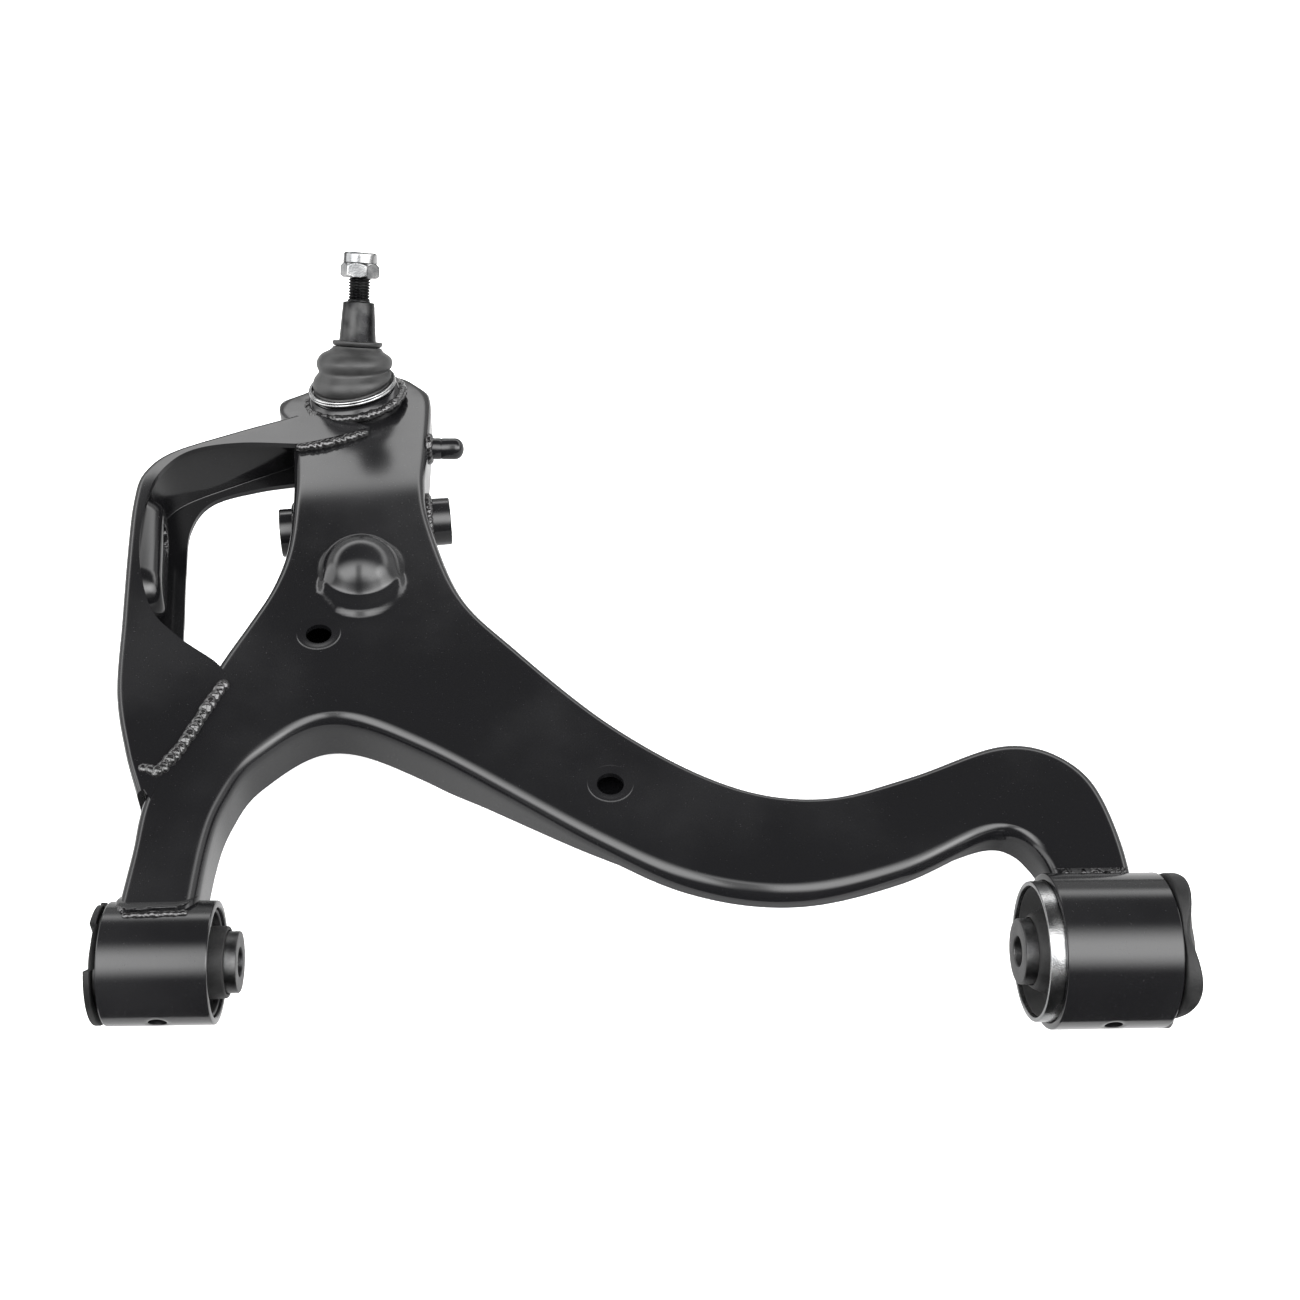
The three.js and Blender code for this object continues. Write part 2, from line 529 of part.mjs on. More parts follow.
function earWeld() {
  const fall = Math.tan(NECK_SLOPE);
  const skew = Math.tan(BEND_YAW);
  const line = [[-218, 393], [-206, 396], [-194, 400.5], [-182, 406.5], [-170, 412.5]];
  const pastBend = (x, y) => y - BEND_POINT.y - skew * (x - BEND_POINT.x);
  const lifted = line.map(([x, y]) => [x, y, PLATE_TOP + 2.4 - fall * pastBend(x, y)]);
  return largest(weldBar(lifted, 3).subtract(armClear).subtract(bracketClear).subtract(bracketBody));
}

/** Bead where a leg of the arm lands on a sleeve, across the top plate. */
function sleeveWeld(from, to, cut, sleeveRadius) {
  const middle = (from + to) / 2;
  const top = PLATE_TOP - FALL * middle;
  const land = Math.sqrt(sleeveRadius ** 2 - top ** 2) - SWEEP * middle;
  const crown = PLATE_TOP + 1.5;
  const line = [[from, land, crown], [middle, land - 0.5, crown], [to, land, crown]];
  return weldBar(line, 4).subtract(armClear).subtract(cut);
}

const housingWeld = () => largest(ballJoint([
  [HOUSING_RADIUS + GAP, -4], [HOUSING_RADIUS + 5, -1], [HOUSING_RADIUS + 4, 2.5], [HOUSING_RADIUS + GAP, 5],
  [HOUSING_RADIUS + GAP, -4],
], 36).subtract(armClear).subtract(bracketClear)
  .subtract(bracketBody).subtract(earWeldBody));

/** Ring bead where the damper tube leaves a side wall of the neck. */
const tubeWeld = (from, to) => tube(TUBE.outer + 4, TUBE.outer + GAP, from, to, damperOrigin, damperAxis, 28)
  .subtract(armClear);

const pegWeld = () => turned([
  [PEG.radius + GAP, PEG.from - 3], [PEG.radius + 4.5, PEG.from - 3], [PEG.radius + 3.5, PEG.from + 3],
  [PEG.radius + GAP, PEG.from + 5], [PEG.radius + GAP, PEG.from - 3],
], new THREE.Vector3(0, PEG.y, PEG.z), X_AXIS, 24).subtract(armClear);

/** The bracket's ear grown upwards and sideways, to keep the beads off it. */
const bracketClear = prism([
  [-214, 432], [-191, 427], [-168, 416], [-193, 403], [-221, 394], [-300, 380], [-300, 440],
].map(([x, y]) => new THREE.Vector2(x, y)), -30, DEEP).intersect(belowTop(SHEET + 2 * GAP));
const earWeldBody = earWeld();

// ---------------------------------------------------------------- assembly
const group = new THREE.Group();
const parts = [
  ['upper_shell', upperShell(), paint()],
  ['lower_shell', lowerShell(), paint()],
  ['damper_bracket', bracketBody, paint()],
  ['front_bush_housing_sleeve', bushSleeve(FRONT), paint()],
  ['rear_bush_housing_sleeve', bushSleeve(REAR), paint()],
  ['front_bush_press_shell', pressShell(FRONT), bareSteel()],
  ['front_bush_rubber', frontRubber(), rubber()],
  ['front_bush_core_sleeve', coreSleeve(FRONT), bareSteel()],
  ['rear_bush_press_shell', pressShell(REAR), zinc()],
  ['rear_bush_rubber', rearRubber(), rubber()],
  ['rear_bush_end_stop', rearEndStop(), rubber()],
  ['rear_bush_core_sleeve', coreSleeve(REAR), bareSteel()],
  ['damper_cross_tube', damperTube(), paint()],
  ['side_peg', sidePeg(), paint()],
  ['ball_joint_housing', housing(), paint()],
  ['ball_seat', seat(), plastic()],
  ['seat_spring_washer', springWasher(), bareSteel()],
  ['housing_cover_plate', coverPlate(), bareSteel()],
  ['ball_stud', ballStud(), oiledSteel()],
  ['stud_nut', studNut(), zinc()],
  ['dust_boot', dustBoot(), rubber()],
  ['boot_clip_ring', clipRing(), zinc()],
  ['boot_collar', collarRing(), rubber()],
  ['bracket_seam_weld', bracketSeamWeld(), bead()],
  ['bracket_ear_weld', earWeldBody, bead()],
  ['front_sleeve_weld', sleeveWeld(-275, -242, frontSleeveCut, FRONT.sleeve), bead()],
  ['rear_sleeve_weld', sleeveWeld(236, 273, rearSleeveCut, REAR.sleeve), bead()],
  ['housing_weld', housingWeld(), bead()],
  ['tube_weld_front', tubeWeld(-49, -36), bead()],
  ['tube_weld_rear', tubeWeld(36, 49), bead()],
  ['side_peg_weld', pegWeld(), bead()],
];
for (const [name, body, material] of parts) group.add(piece(name, body, material));

export default group;
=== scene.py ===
# %% [markdown]
# # A suspension control arm
#
# The part is a lower control arm: two pressed steel shells welded into a hollow arm, a
# rubber bush at the end of each leg, a damper bracket welded to the front side and a ball
# joint at the outboard end. The CAD model is loaded first as a fixed frame. Every piece
# made here takes its place from it, and stands for one of its nodes.

# %% Load the frame
import math

import bmesh
import bpy
import numpy as np
from mathutils import Matrix, Vector
from mathutils.geometry import delaunay_2d_cdt


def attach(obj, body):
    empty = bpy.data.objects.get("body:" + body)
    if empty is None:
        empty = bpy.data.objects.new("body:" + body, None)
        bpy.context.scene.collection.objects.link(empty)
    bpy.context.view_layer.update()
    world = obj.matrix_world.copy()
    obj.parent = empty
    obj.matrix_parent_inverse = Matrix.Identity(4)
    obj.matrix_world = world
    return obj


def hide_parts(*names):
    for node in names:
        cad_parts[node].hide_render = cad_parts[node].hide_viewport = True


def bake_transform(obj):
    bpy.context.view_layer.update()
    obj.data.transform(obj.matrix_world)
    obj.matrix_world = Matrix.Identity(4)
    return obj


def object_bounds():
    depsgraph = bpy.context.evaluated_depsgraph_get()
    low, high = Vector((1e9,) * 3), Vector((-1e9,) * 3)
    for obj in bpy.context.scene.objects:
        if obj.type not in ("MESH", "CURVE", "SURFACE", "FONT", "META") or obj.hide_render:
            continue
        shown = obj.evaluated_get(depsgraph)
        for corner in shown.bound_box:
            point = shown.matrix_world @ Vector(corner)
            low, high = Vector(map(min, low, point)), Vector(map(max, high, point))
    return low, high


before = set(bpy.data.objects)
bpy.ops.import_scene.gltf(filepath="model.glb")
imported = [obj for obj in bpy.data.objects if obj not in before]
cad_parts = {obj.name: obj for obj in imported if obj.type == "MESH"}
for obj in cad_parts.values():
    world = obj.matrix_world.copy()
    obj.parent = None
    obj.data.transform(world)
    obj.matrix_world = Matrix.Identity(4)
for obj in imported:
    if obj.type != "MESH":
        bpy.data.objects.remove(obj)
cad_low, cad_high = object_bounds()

print("CAD box", [round(c, 4) for c in (*cad_low, *cad_high)])

# %% [markdown]
# ## Camera
#
# The camera looks down on the arm from inboard, a little from the front of the car, and is
# rolled by a few degrees. Its place follows from the viewing angle and the distance.

# %% Camera
TARGET = Vector((0.016, 0.2273, 0.0))
AZIMUTH = math.radians(-5.7)
ELEVATION = math.radians(47.35)
ROLL = math.radians(4.1)
DISTANCE = 1.108
FOCAL_LENGTH, SENSOR_WIDTH = 48.3, 36

back = Vector((
    math.sin(AZIMUTH) * math.cos(ELEVATION),
    -math.cos(AZIMUTH) * math.cos(ELEVATION),
    math.sin(ELEVATION),
))
level = Vector((0, 0, 1)).cross(back).normalized()
upright = back.cross(level)
right = level * math.cos(ROLL) + upright * math.sin(ROLL)
up = upright * math.cos(ROLL) - level * math.sin(ROLL)
camera_data = bpy.data.cameras.new("camera")
camera_data.lens = FOCAL_LENGTH
camera_data.sensor_width = SENSOR_WIDTH
camera_data.clip_start = 0.02
camera_data.clip_end = 60
camera = bpy.data.objects.new("camera", camera_data)
bpy.context.collection.objects.link(camera)
camera.matrix_world = (
    Matrix.Translation(TARGET + back * DISTANCE)
    @ Matrix((right, up, back)).transposed().to_4x4()
)
bpy.context.scene.camera = camera
print("camera at", [round(c, 3) for c in camera.matrix_world.translation])

# %% [markdown]
# ## Shader maths as Python
#
# A socket is wrapped in a small class, so that `1 - mask * 0.5` adds the Math nodes that
# work it out. One method makes any other node from its type, settings and inputs.

# %% Shader helpers
class Link:
    """One output of a node, with the arithmetic operators that shader maths needs."""

    def __init__(self, tree, socket):
        self.tree = tree
        self.socket = socket

    def maths(self, operation, *values):
        """A Math node whose inputs are the values in order."""
        inputs = dict(enumerate(values))
        return node(self.tree, "ShaderNodeMath", {"operation": operation}, inputs)

    def __add__(self, other):
        return self.maths("ADD", self, other)

    def __rsub__(self, other):
        return self.maths("SUBTRACT", other, self)

    def __mul__(self, other):
        return self.maths("MULTIPLY", self, other)

    def absolute(self):
        return self.maths("ABSOLUTE", self)

    def between(self, low, high, to_low=0.0, to_high=1.0):
        """Smooth step from to_low at low to to_high at high."""
        return node(self.tree, "ShaderNodeMapRange", {"interpolation_type": "SMOOTHSTEP"},
                    {0: self, 1: low, 2: high, 3: to_low, 4: to_high})


def plug(tree, socket, value):
    """Links a Link to an input socket, or sets the socket to a value."""
    if isinstance(value, Link):
        tree.links.new(value.socket, socket)
    else:
        socket.default_value = value


def node(tree, kind, settings=None, inputs=None, output=0):
    """Makes a node of a kind: settings first, then socket values or links."""
    made = tree.nodes.new(kind)
    for name, value in (settings or {}).items():
        setattr(made, name, value)
    for name, value in (inputs or {}).items():
        plug(tree, made.inputs[name], value)
    return Link(tree, made.outputs[output])


def noise(tree, where, scale, detail=3.0, roughness=0.5):
    """Noise about 0.5, with the given number of features per metre."""
    return node(tree, "ShaderNodeTexNoise", {}, {
        "Vector": where, "Scale": scale, "Detail": detail, "Roughness": roughness,
    })


def blend_colour(tree, factor, a, b):
    """Colour a where the factor is 0, colour b where it is 1."""
    colours = {0: factor, 6: (*a, 1), 7: (*b, 1)}
    return node(tree, "ShaderNodeMix", {"data_type": "RGBA"}, colours, output=2)


def finish_named(name, build):
    """A material whose Principled sockets come from build(tree, object coordinates)."""
    material = bpy.data.materials.new(name)
    material.use_nodes = True
    tree = material.node_tree
    shader = tree.nodes["Principled BSDF"]
    where = node(tree, "ShaderNodeTexCoord", output=3)
    for socket, value in build(tree, where).items():
        plug(tree, shader.inputs[socket], value)
    print("finish", name, len(tree.nodes), "nodes")
    return material


def bump(tree, height, distance):
    """Relief that is distance metres high where the height is 1."""
    return node(tree, "ShaderNodeBump", {}, {"Height": height, "Distance": distance})


# %% [markdown]
# ## Finishes
#
# The arm is dipped in gloss black paint. The paint is smooth like a mirror, with a very
# fine orange peel, a few dust specks and a thin film of dust that lifts the black a
# little. Over the weld beads the same paint lies on a rough surface. FINISH holds one
# material for each slot of the frame.

# %% Black paint
def gloss_paint(tree, where):
    """Black that is lifted by dust and specks, over a fine peel and a slow flow."""
    film = noise(tree, where, 9, 4)
    speck = noise(tree, where, 900, 1).between(0.72, 0.78)
    peel = noise(tree, where, 420, 2)
    flow = noise(tree, where, 34, 2)
    dust = film.between(0.45, 0.75, 0, 0.16) + speck * 0.12
    clean, dusty = (0.0045, 0.0045, 0.005), (0.03, 0.03, 0.031)
    return {
        "Base Color": blend_colour(tree, dust, clean, dusty),
        "Roughness": film.between(0.3, 0.7, 0.1, 0.19) + speck * 0.2,
        "IOR": 1.42,
        "Normal": bump(tree, peel * 0.25 + flow, 0.00003),
    }


def weld_paint(tree, where):
    """The same black on grit and scale."""
    grit = noise(tree, where, 900, 4, 0.6)
    scale = noise(tree, where, 240, 2)
    clean, gritty = (0.004, 0.004, 0.0044), (0.016, 0.0155, 0.015)
    return {
        "Base Color": blend_colour(tree, grit.between(0.4, 0.7), clean, gritty),
        "Roughness": grit.between(0.3, 0.8, 0.07, 0.2),
        "IOR": 1.6,
        "Normal": bump(tree, scale + grit * 0.3, 0.00035),
    }


FINISH = {
    "black_paint": finish_named("gloss_black_paint", gloss_paint),
    "weld_paint": finish_named("paint_over_weld", weld_paint),
}

# %% [markdown]
# The bushes are moulded rubber, dull with a slight bloom. The boot is a softer rubber with
# more sheen. The bloom shows mostly as soft patches of roughness.

# %% Rubber
def bush_rubber(tree, where):
    """Dull black with a bloom and a fine grain."""
    bloom = noise(tree, where, 60, 5)
    grain = noise(tree, where, 1400, 3)
    fresh, bloomed = (0.004, 0.004, 0.0042), (0.011, 0.011, 0.011)
    return {
        "Base Color": blend_colour(tree, bloom.between(0.35, 0.7), fresh, bloomed),
        "Roughness": bloom.between(0.3, 0.7, 0.5, 0.68),
        "Specular IOR Level": 0.3,
        "Normal": bump(tree, bloom * 0.6 + grain * 0.4, 0.0004),
    }


def boot_rubber(tree, where):
    """Softer black with more sheen."""
    bloom = noise(tree, where, 45, 5)
    grain = noise(tree, where, 1100, 2)
    fresh, bloomed = (0.008, 0.008, 0.008), (0.018, 0.018, 0.018)
    return {
        "Base Color": blend_colour(tree, bloom.between(0.3, 0.7), fresh, bloomed),
        "Roughness": bloom.between(0.3, 0.7, 0.38, 0.52),
        "Specular IOR Level": 0.4,
        "Normal": bump(tree, grain, 0.00008),
    }


FINISH["bush_rubber"] = finish_named("bush_rubber", bush_rubber)
FINISH["boot_rubber"] = finish_named("boot_rubber", boot_rubber)

# %% [markdown]
# The cores are turned steel with fine marks, the nut, clip and rear press shell are bright
# zinc, the stud is dark oiled steel, and the ball seat is natural acetal.

# %% Metals and plastic
def metal(dark, light, rough_low, rough_high, grain_scale, depth):
    """Returns a build function for steel or zinc with cloudy colour and a fine grain."""
    def build(tree, where):
        cloud = noise(tree, where, 70, 4)
        grain = noise(tree, where, grain_scale, 3)
        return {
            "Base Color": blend_colour(tree, cloud.between(0.35, 0.65), dark, light),
            "Metallic": 1.0,
            "Roughness": cloud.between(0.3, 0.7, rough_low, rough_high),
            "Normal": bump(tree, grain, depth),
        }
    return build


def acetal(tree, where):
    """Cloudy natural white."""
    cloud = noise(tree, where, 90, 3)
    return {
        "Base Color": blend_colour(tree, cloud, (0.62, 0.6, 0.52), (0.74, 0.72, 0.64)),
        "Roughness": cloud.between(0.3, 0.7, 0.4, 0.55),
    }


METALS = {
    "core_steel": metal((0.035, 0.035, 0.036), (0.085, 0.085, 0.085), 0.35, 0.5, 1500, 0.0001),
    "zinc_plate": metal((0.16, 0.163, 0.166), (0.33, 0.33, 0.33), 0.18, 0.3, 1200, 0.00008),
    "oiled_steel": metal((0.01, 0.01, 0.0105), (0.035, 0.035, 0.035), 0.24, 0.38, 1300, 0.00012),
}
for slot, build in METALS.items():
    FINISH[slot] = finish_named(slot, build)
FINISH["seat_plastic"] = finish_named("seat_acetal", acetal)

# %% [markdown]
# ## Surfaces from arrays
#
# All shapes are worked out in millimetres as whole numpy arrays, then written to a mesh.
# Three helpers do most of the work: a grid of quads, a filled outline and a lathe.

# %% Curves
def unit(vectors):
    """Each vector divided by its length."""
    return vectors / np.linalg.norm(vectors, axis=-1, keepdims=True)


def whole_turn(count):
    """Angles of equal steps once round."""
    return np.linspace(0, 2 * np.pi, count, endpoint=False)


def smooth(points, count):
    """Catmull-Rom curve through the points, resampled to equal steps of length.

    Between b and c, with neighbours a and d, a point is half of
    2b + (c - a)t + (2a - 5b + 4c - d)t^2 + (3b - a - 3c + d)t^3.
    """
    p = np.asarray(points, float)
    p = np.vstack([2 * p[0] - p[1], p, 2 * p[-1] - p[-2]])
    a, b, c, d = p[:-3, None], p[1:-2, None], p[2:-1, None], p[3:, None]
    t = np.linspace(0, 1, 24, endpoint=False)[None, :, None]
    square, cube = 2 * a - 5 * b + 4 * c - d, 3 * b - a - 3 * c + d
    fine = 0.5 * (2 * b + (c - a) * t + square * t**2 + cube * t**3)
    return resample(np.vstack([fine.reshape(-1, p.shape[1]), p[-2]]), count)


def resample(line, count):
    """The same line with count points at equal steps of length."""
    run = np.concatenate([[0], np.cumsum(np.linalg.norm(np.diff(line, axis=0), axis=1))])
    where = np.linspace(0, run[-1], count)
    return np.stack([np.interp(where, run, axis) for axis in line.T], axis=-1)


def outward(loop):
    """Unit normals of a counterclockwise loop of 2-D points: the tangent turned right."""
    tangent = unit(np.roll(loop, -1, 0) - np.roll(loop, 1, 0))
    return np.stack([tangent[:, 1], -tangent[:, 0]], axis=-1)


def softened(loop, passes):
    """A loop with each point averaged with its neighbours, so that corners get round."""
    for _ in range(int(passes)):
        loop = 0.5 * loop + 0.25 * (np.roll(loop, 1, 0) + np.roll(loop, -1, 0))
    return loop


def eased(share):
    """Smooth step: 3 s^2 - 2 s^3, with s held between 0 and 1."""
    share = np.clip(share, 0, 1)
    return share**2 * (3 - 2 * share)


# %% Grids, fills and lathes
def quads(rows, columns, wrap=False):
    """Faces of a grid of rows x columns points, closed along its columns if wrap is set."""
    r = np.arange(rows - 1)[:, None]
    c = np.arange(columns if wrap else columns - 1)[None, :]
    n = (c + 1) % columns
    here, below = r * columns, (r + 1) * columns
    corners = np.broadcast_arrays(here + c, here + n, below + n, below + c)
    return np.stack(corners, axis=-1).reshape(-1, 4)


def inside(points, loop):
    """True where a ray to the right of the point crosses the loop an odd number of times."""
    x, y = points[:, :1], points[:, 1:]
    a, b = loop.T[:, None], np.roll(loop, -1, 0).T[:, None]
    crosses = (a[1] > y) != (b[1] > y)
    rise = np.where(np.abs(b[1] - a[1]) < 1e-9, 1e-9, b[1] - a[1])
    return (crosses & (x < a[0] + (y - a[1]) * (b[0] - a[0]) / rise)).sum(1) % 2 == 1


def far_from(points, loop, gap):
    """True where a point is further than gap from every point of the loop."""
    x, y = points[:, :1], points[:, 1:]
    return np.hypot(x - loop[None, :, 0], y - loop[None, :, 1]).min(1) > gap


def lattice(x, y):
    """Every pair of an x and a y, one to a row."""
    return np.stack(np.meshgrid(x, y), -1).reshape(-1, 2)


LOOP_GAP, HOLE_GAP = 1.2, 0.5


def filled(loop, holes=(), extra=np.zeros((0, 2)), step=9.0):
    """Triangles that fill a loop round its holes, through extra points and an even grid."""
    low, high = loop.min(0), loop.max(0)
    grid = lattice(np.arange(low[0], high[0], step), np.arange(low[1], high[1], step))
    if len(extra):
        grid = grid[far_from(grid, extra, 0.5 * step)]
    cloud = np.vstack([grid, extra])
    cloud = cloud[inside(cloud, loop) & far_from(cloud, loop, LOOP_GAP)]
    for hole in holes:
        cloud = cloud[~inside(cloud, hole) & far_from(cloud, hole, HOLE_GAP)]
    points, edges = [cloud], []
    start = len(cloud)
    for ring in (loop, *holes):
        index = start + np.arange(len(ring))
        edges += np.stack([index, np.roll(index, -1)], -1).tolist()
        points.append(ring)
        start += len(ring)
    points = np.vstack(points)
    corners, _, triangles, *_ = delaunay_2d_cdt([Vector(p) for p in points], edges, [], 0, 1e-5)
    flat = np.array([corner[:] for corner in corners])
    faces = np.array(triangles)
    centre = flat[faces].mean(1)
    keep = inside(centre, loop)
    for hole in holes:
        keep &= ~inside(centre, hole)
    return flat, faces[keep]


def circle(x, y, radius, count):
    """Points evenly round a circle, counterclockwise from its right."""
    turn = whole_turn(count)
    return np.stack([x + radius * np.cos(turn), y + radius * np.sin(turn)], axis=-1)


def joined(*parts):
    """Several (points, faces) pairs as one, with the faces as a list."""
    points, faces, start = [], [], 0
    for p, f in parts:
        points.append(p.reshape(-1, 3))
        faces += (f + start).tolist()
        start += len(points[-1])
    return np.vstack(points), faces


def sharpen_rims(mesh):
    """Marks each edge that has only one face, so that a thickened sheet has crisp rims."""
    edge_of_corner = np.empty(len(mesh.loops), np.int32)
    mesh.loops.foreach_get("edge_index", edge_of_corner)
    sharp = np.empty(len(mesh.edges), bool)
    mesh.edges.foreach_get("use_edge_sharp", sharp)
    rim = np.bincount(edge_of_corner, minlength=len(sharp)) == 1
    mesh.edges.foreach_set("use_edge_sharp", sharp | rim)


def make(name, shape, slot, stands_for=(), body="arm", crease=40.0, wall=0.0):
    """Writes (points in mm, faces) to a mesh, merges its doubles and rides it on a body."""
    points, faces = shape
    mesh = bpy.data.meshes.new(name)
    metres = points.reshape(-1, 3) * 0.001
    mesh.from_pydata(metres.tolist(), [], [list(face) for face in faces])
    work = bmesh.new()
    work.from_mesh(mesh)
    bmesh.ops.remove_doubles(work, verts=work.verts, dist=2e-5)
    bmesh.ops.dissolve_degenerate(work, edges=work.edges, dist=1e-6)
    bmesh.ops.recalc_face_normals(work, faces=work.faces)
    work.to_mesh(mesh)
    work.free()
    mesh.materials.append(FINISH[slot])
    mesh.shade_smooth()
    mesh.set_sharp_from_angle(angle=math.radians(crease))
    sharpen_rims(mesh)
    thing = bpy.data.objects.new(name, mesh)
    bpy.context.collection.objects.link(thing)
    if wall:
        solidify = thing.modifiers.new("wall", "SOLIDIFY")
        solidify.thickness = wall * 0.001
        solidify.offset = -1
    if body:
        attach(thing, body)
    if stands_for:
        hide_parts(*stands_for)
    print(f"{name}: {len(mesh.polygons)} faces")
    return thing


def onto_axis(radius, along, angle, origin, axis):
    """Places radius, distance along and angle round an axis in space."""
    axis = unit(np.asarray(axis, float))
    guide = np.array([1.0, 0, 0]) if abs(axis[2]) > 0.9 else np.array([0, 0, 1.0])
    side = unit(guide - axis * (guide @ axis))
    third = np.cross(axis, side)
    radius, along, angle = np.broadcast_arrays(radius, along, angle)
    return (
        np.asarray(origin, float)
        + along[..., None] * axis
        + (radius * np.cos(angle))[..., None] * side
        + (radius * np.sin(angle))[..., None] * third
    )


LONGEST_CUT = 0.45


def rounded(profile, radius=0.6, steps=3, closed=True):
    """A profile with each corner replaced by a short curve that starts radius before it.

    On short sides the curve starts at most LONGEST_CUT of the side before the corner.
    """
    p = np.asarray(profile, float)
    before, after = np.roll(p, 1, 0), np.roll(p, -1, 0)
    reach_in = np.linalg.norm(before - p, axis=1)[:, None]
    reach_out = np.linalg.norm(after - p, axis=1)[:, None]
    start = p + (before - p) / reach_in * np.minimum(radius, LONGEST_CUT * reach_in)
    end = p + (after - p) / reach_out * np.minimum(radius, LONGEST_CUT * reach_out)
    t = np.linspace(0, 1, steps + 1)[None, :, None]
    bent = (1 - t) ** 2 * start[:, None] + 2 * t * (1 - t) * p[:, None] + t**2 * end[:, None]
    if not closed:
        bent[0] = p[0]
        bent[-1] = p[-1]
    return bent.reshape(-1, 2)


def lathe(profile, origin, axis, sides=96, closed=True, shape=None):
    """A [radius, along] profile turned round an axis, which a shape function may bend.

    A point is origin + along * axis + radius * (cos(angle) * side + sin(angle) * third).
    """
    profile = np.asarray(profile, float)
    if closed:
        profile = np.vstack([profile, profile[:1]])
    angle = whole_turn(sides)[None, :]
    radius, along = profile[:, :1], profile[:, 1:]
    radius, along, angle = np.broadcast_arrays(radius, along, angle)
    if shape:
        radius, along, angle = shape(radius, along, angle)
    points = onto_axis(radius, along, angle, origin, axis)
    return points, quads(*points.shape[:2], wrap=True)


# %% [markdown]
# ## The arm's own numbers
#
# The arm is drawn level, then leaned a little: each millimetre towards the rear bush
# lowers it by a hundredth of a millimetre or so. The outline is five runs of points, and
# each run has its own radius at the pressed edge: widest on the inboard bay, smallest
# round the eye.

# %% Arm geometry
SHEET = 4.0
PLATE_TOP = 28.0
FALL, SWEEP = 0.0135, 0.0115
BEND_X, BEND_Y, BEND_YAW = -175.0, 344.0, math.radians(7.4)
BEND_SOFTNESS, FLANGE_BEND_SOFTNESS = 14.0, 9.0
NECK_SLOPE = math.tan(math.radians(8))
FRONT_LEFT, FRONT_RIGHT, FRONT_R = -285.0, -227.7, 33.1
REAR_LEFT, REAR_RIGHT, REAR_R = 225.4, 289.0, 42.9
X_AXIS = (1, 0, 0)
ORIGIN = (0, 0, 0)

OUTER_EDGE = [
    [276.5, 12], [276.5, 64], [262, 108.5], [224, 125.5], [160, 101], [105, 86.8], [50, 98.4],
    [-12, 141.6], [-71, 204.8], [-105.5, 250.2], [-127.4, 318.5], [-132.3, 356.5], [-132, 393],
    [-132, 440], [-132.4, 458],
]
EYE_EDGE = [
    [-134.5, 471.5], [-141.5, 475.5], [-148, 485.5], [-163, 492], [-184, 494.5], [-203, 488],
    [-213, 473],
]
FRONT_TAB = [[-222, 464], [-233, 460.5], [-235.5, 457], [-235, 446], [-223, 428]]
FRONT_EDGE = [
    [-218, 393], [-213, 341.5], [-212.4, 291.5], [-218.8, 255.5], [-229.8, 225.6], [-243.8, 190.4],
    [-260, 139], [-273.5, 91], [-276.6, 50], [-279, 5],
]
INNER_EDGE = [
    [-238, 5], [-236, 61], [-230.5, 92], [-216, 121], [-177, 148.2], [-121.5, 126.2], [-24.3, 59.7],
    [31, 29.6], [88, 21], [148.5, 35.7], [206, 62.6], [228, 47.4], [232.5, 11.3],
]
EDGE_RADII = [5.5, 3.6, 3.2, 5.5, 9.5]
EDGE_GROWTH = 0.4
COPE_FRONT, COPE_REAR, COPE_Y, COPE_OVERLAP = -225, 222, 60, 1.2


def leaned(points):
    """The arm's lean: y grows and z falls with x."""
    moved = np.array(points, float)
    moved[..., 1] += SWEEP * points[..., 0]
    moved[..., 2] -= FALL * points[..., 0]
    return moved


def past_bend(x, y):
    """How far a point lies outboard of the bend across the neck."""
    return (y - BEND_Y) * math.cos(BEND_YAW) - (x - BEND_X) * math.sin(BEND_YAW)


def falling(beyond, softness):
    """A level that turns into a slope at a bend: slope * (b + sqrt(b^2 + softness^2)) / 2."""
    return PLATE_TOP - NECK_SLOPE * 0.5 * (beyond + np.sqrt(beyond**2 + softness**2))


def top_of(x, y):
    """Height of the top plate: flat, then falling down the neck through a soft bend."""
    return falling(past_bend(x, y), BEND_SOFTNESS)


def underside_of(x, y):
    """Height of the underside: shallow rear arm, deeper front leg, deepest neck."""
    outboard = np.interp(past_bend(x, y), [-125, -30], [-11, -22])
    rear = np.interp(x, [-110, -10, 180, 225], [-11, 8, 8, -2])
    return outboard + eased((x + 135) / 50) * (np.maximum(outboard, rear) - outboard)


def arm_outline(count=1000):
    """The outline, and the radius of its pressed edge at each of its points.

    Where the radius is small, and away from the legs' ends, the outline moves out by
    EDGE_GROWTH of the radius, which makes up for the material that the radius takes off.
    """
    runs = [smooth(OUTER_EDGE, 300), smooth(EYE_EDGE, 90), np.array(FRONT_TAB, float),
            smooth(FRONT_EDGE, 200), smooth(INNER_EDGE, 300)]
    line = np.vstack([
        np.column_stack([run, np.full(len(run), radius)]) for run, radius in zip(runs, EDGE_RADII)
    ])
    line = resample(np.vstack([line, line[:1]]), count + 1)[:-1]
    loop, radius = softened(line[:, :2], 5), softened(line[:, 2:], 40)
    wider = np.clip((8.5 - radius) / 2, 0, 1) * np.clip((loop[:, 1:] - 60) / 40, 0, 1)
    return loop + outward(loop) * wider * EDGE_GROWTH * radius, radius


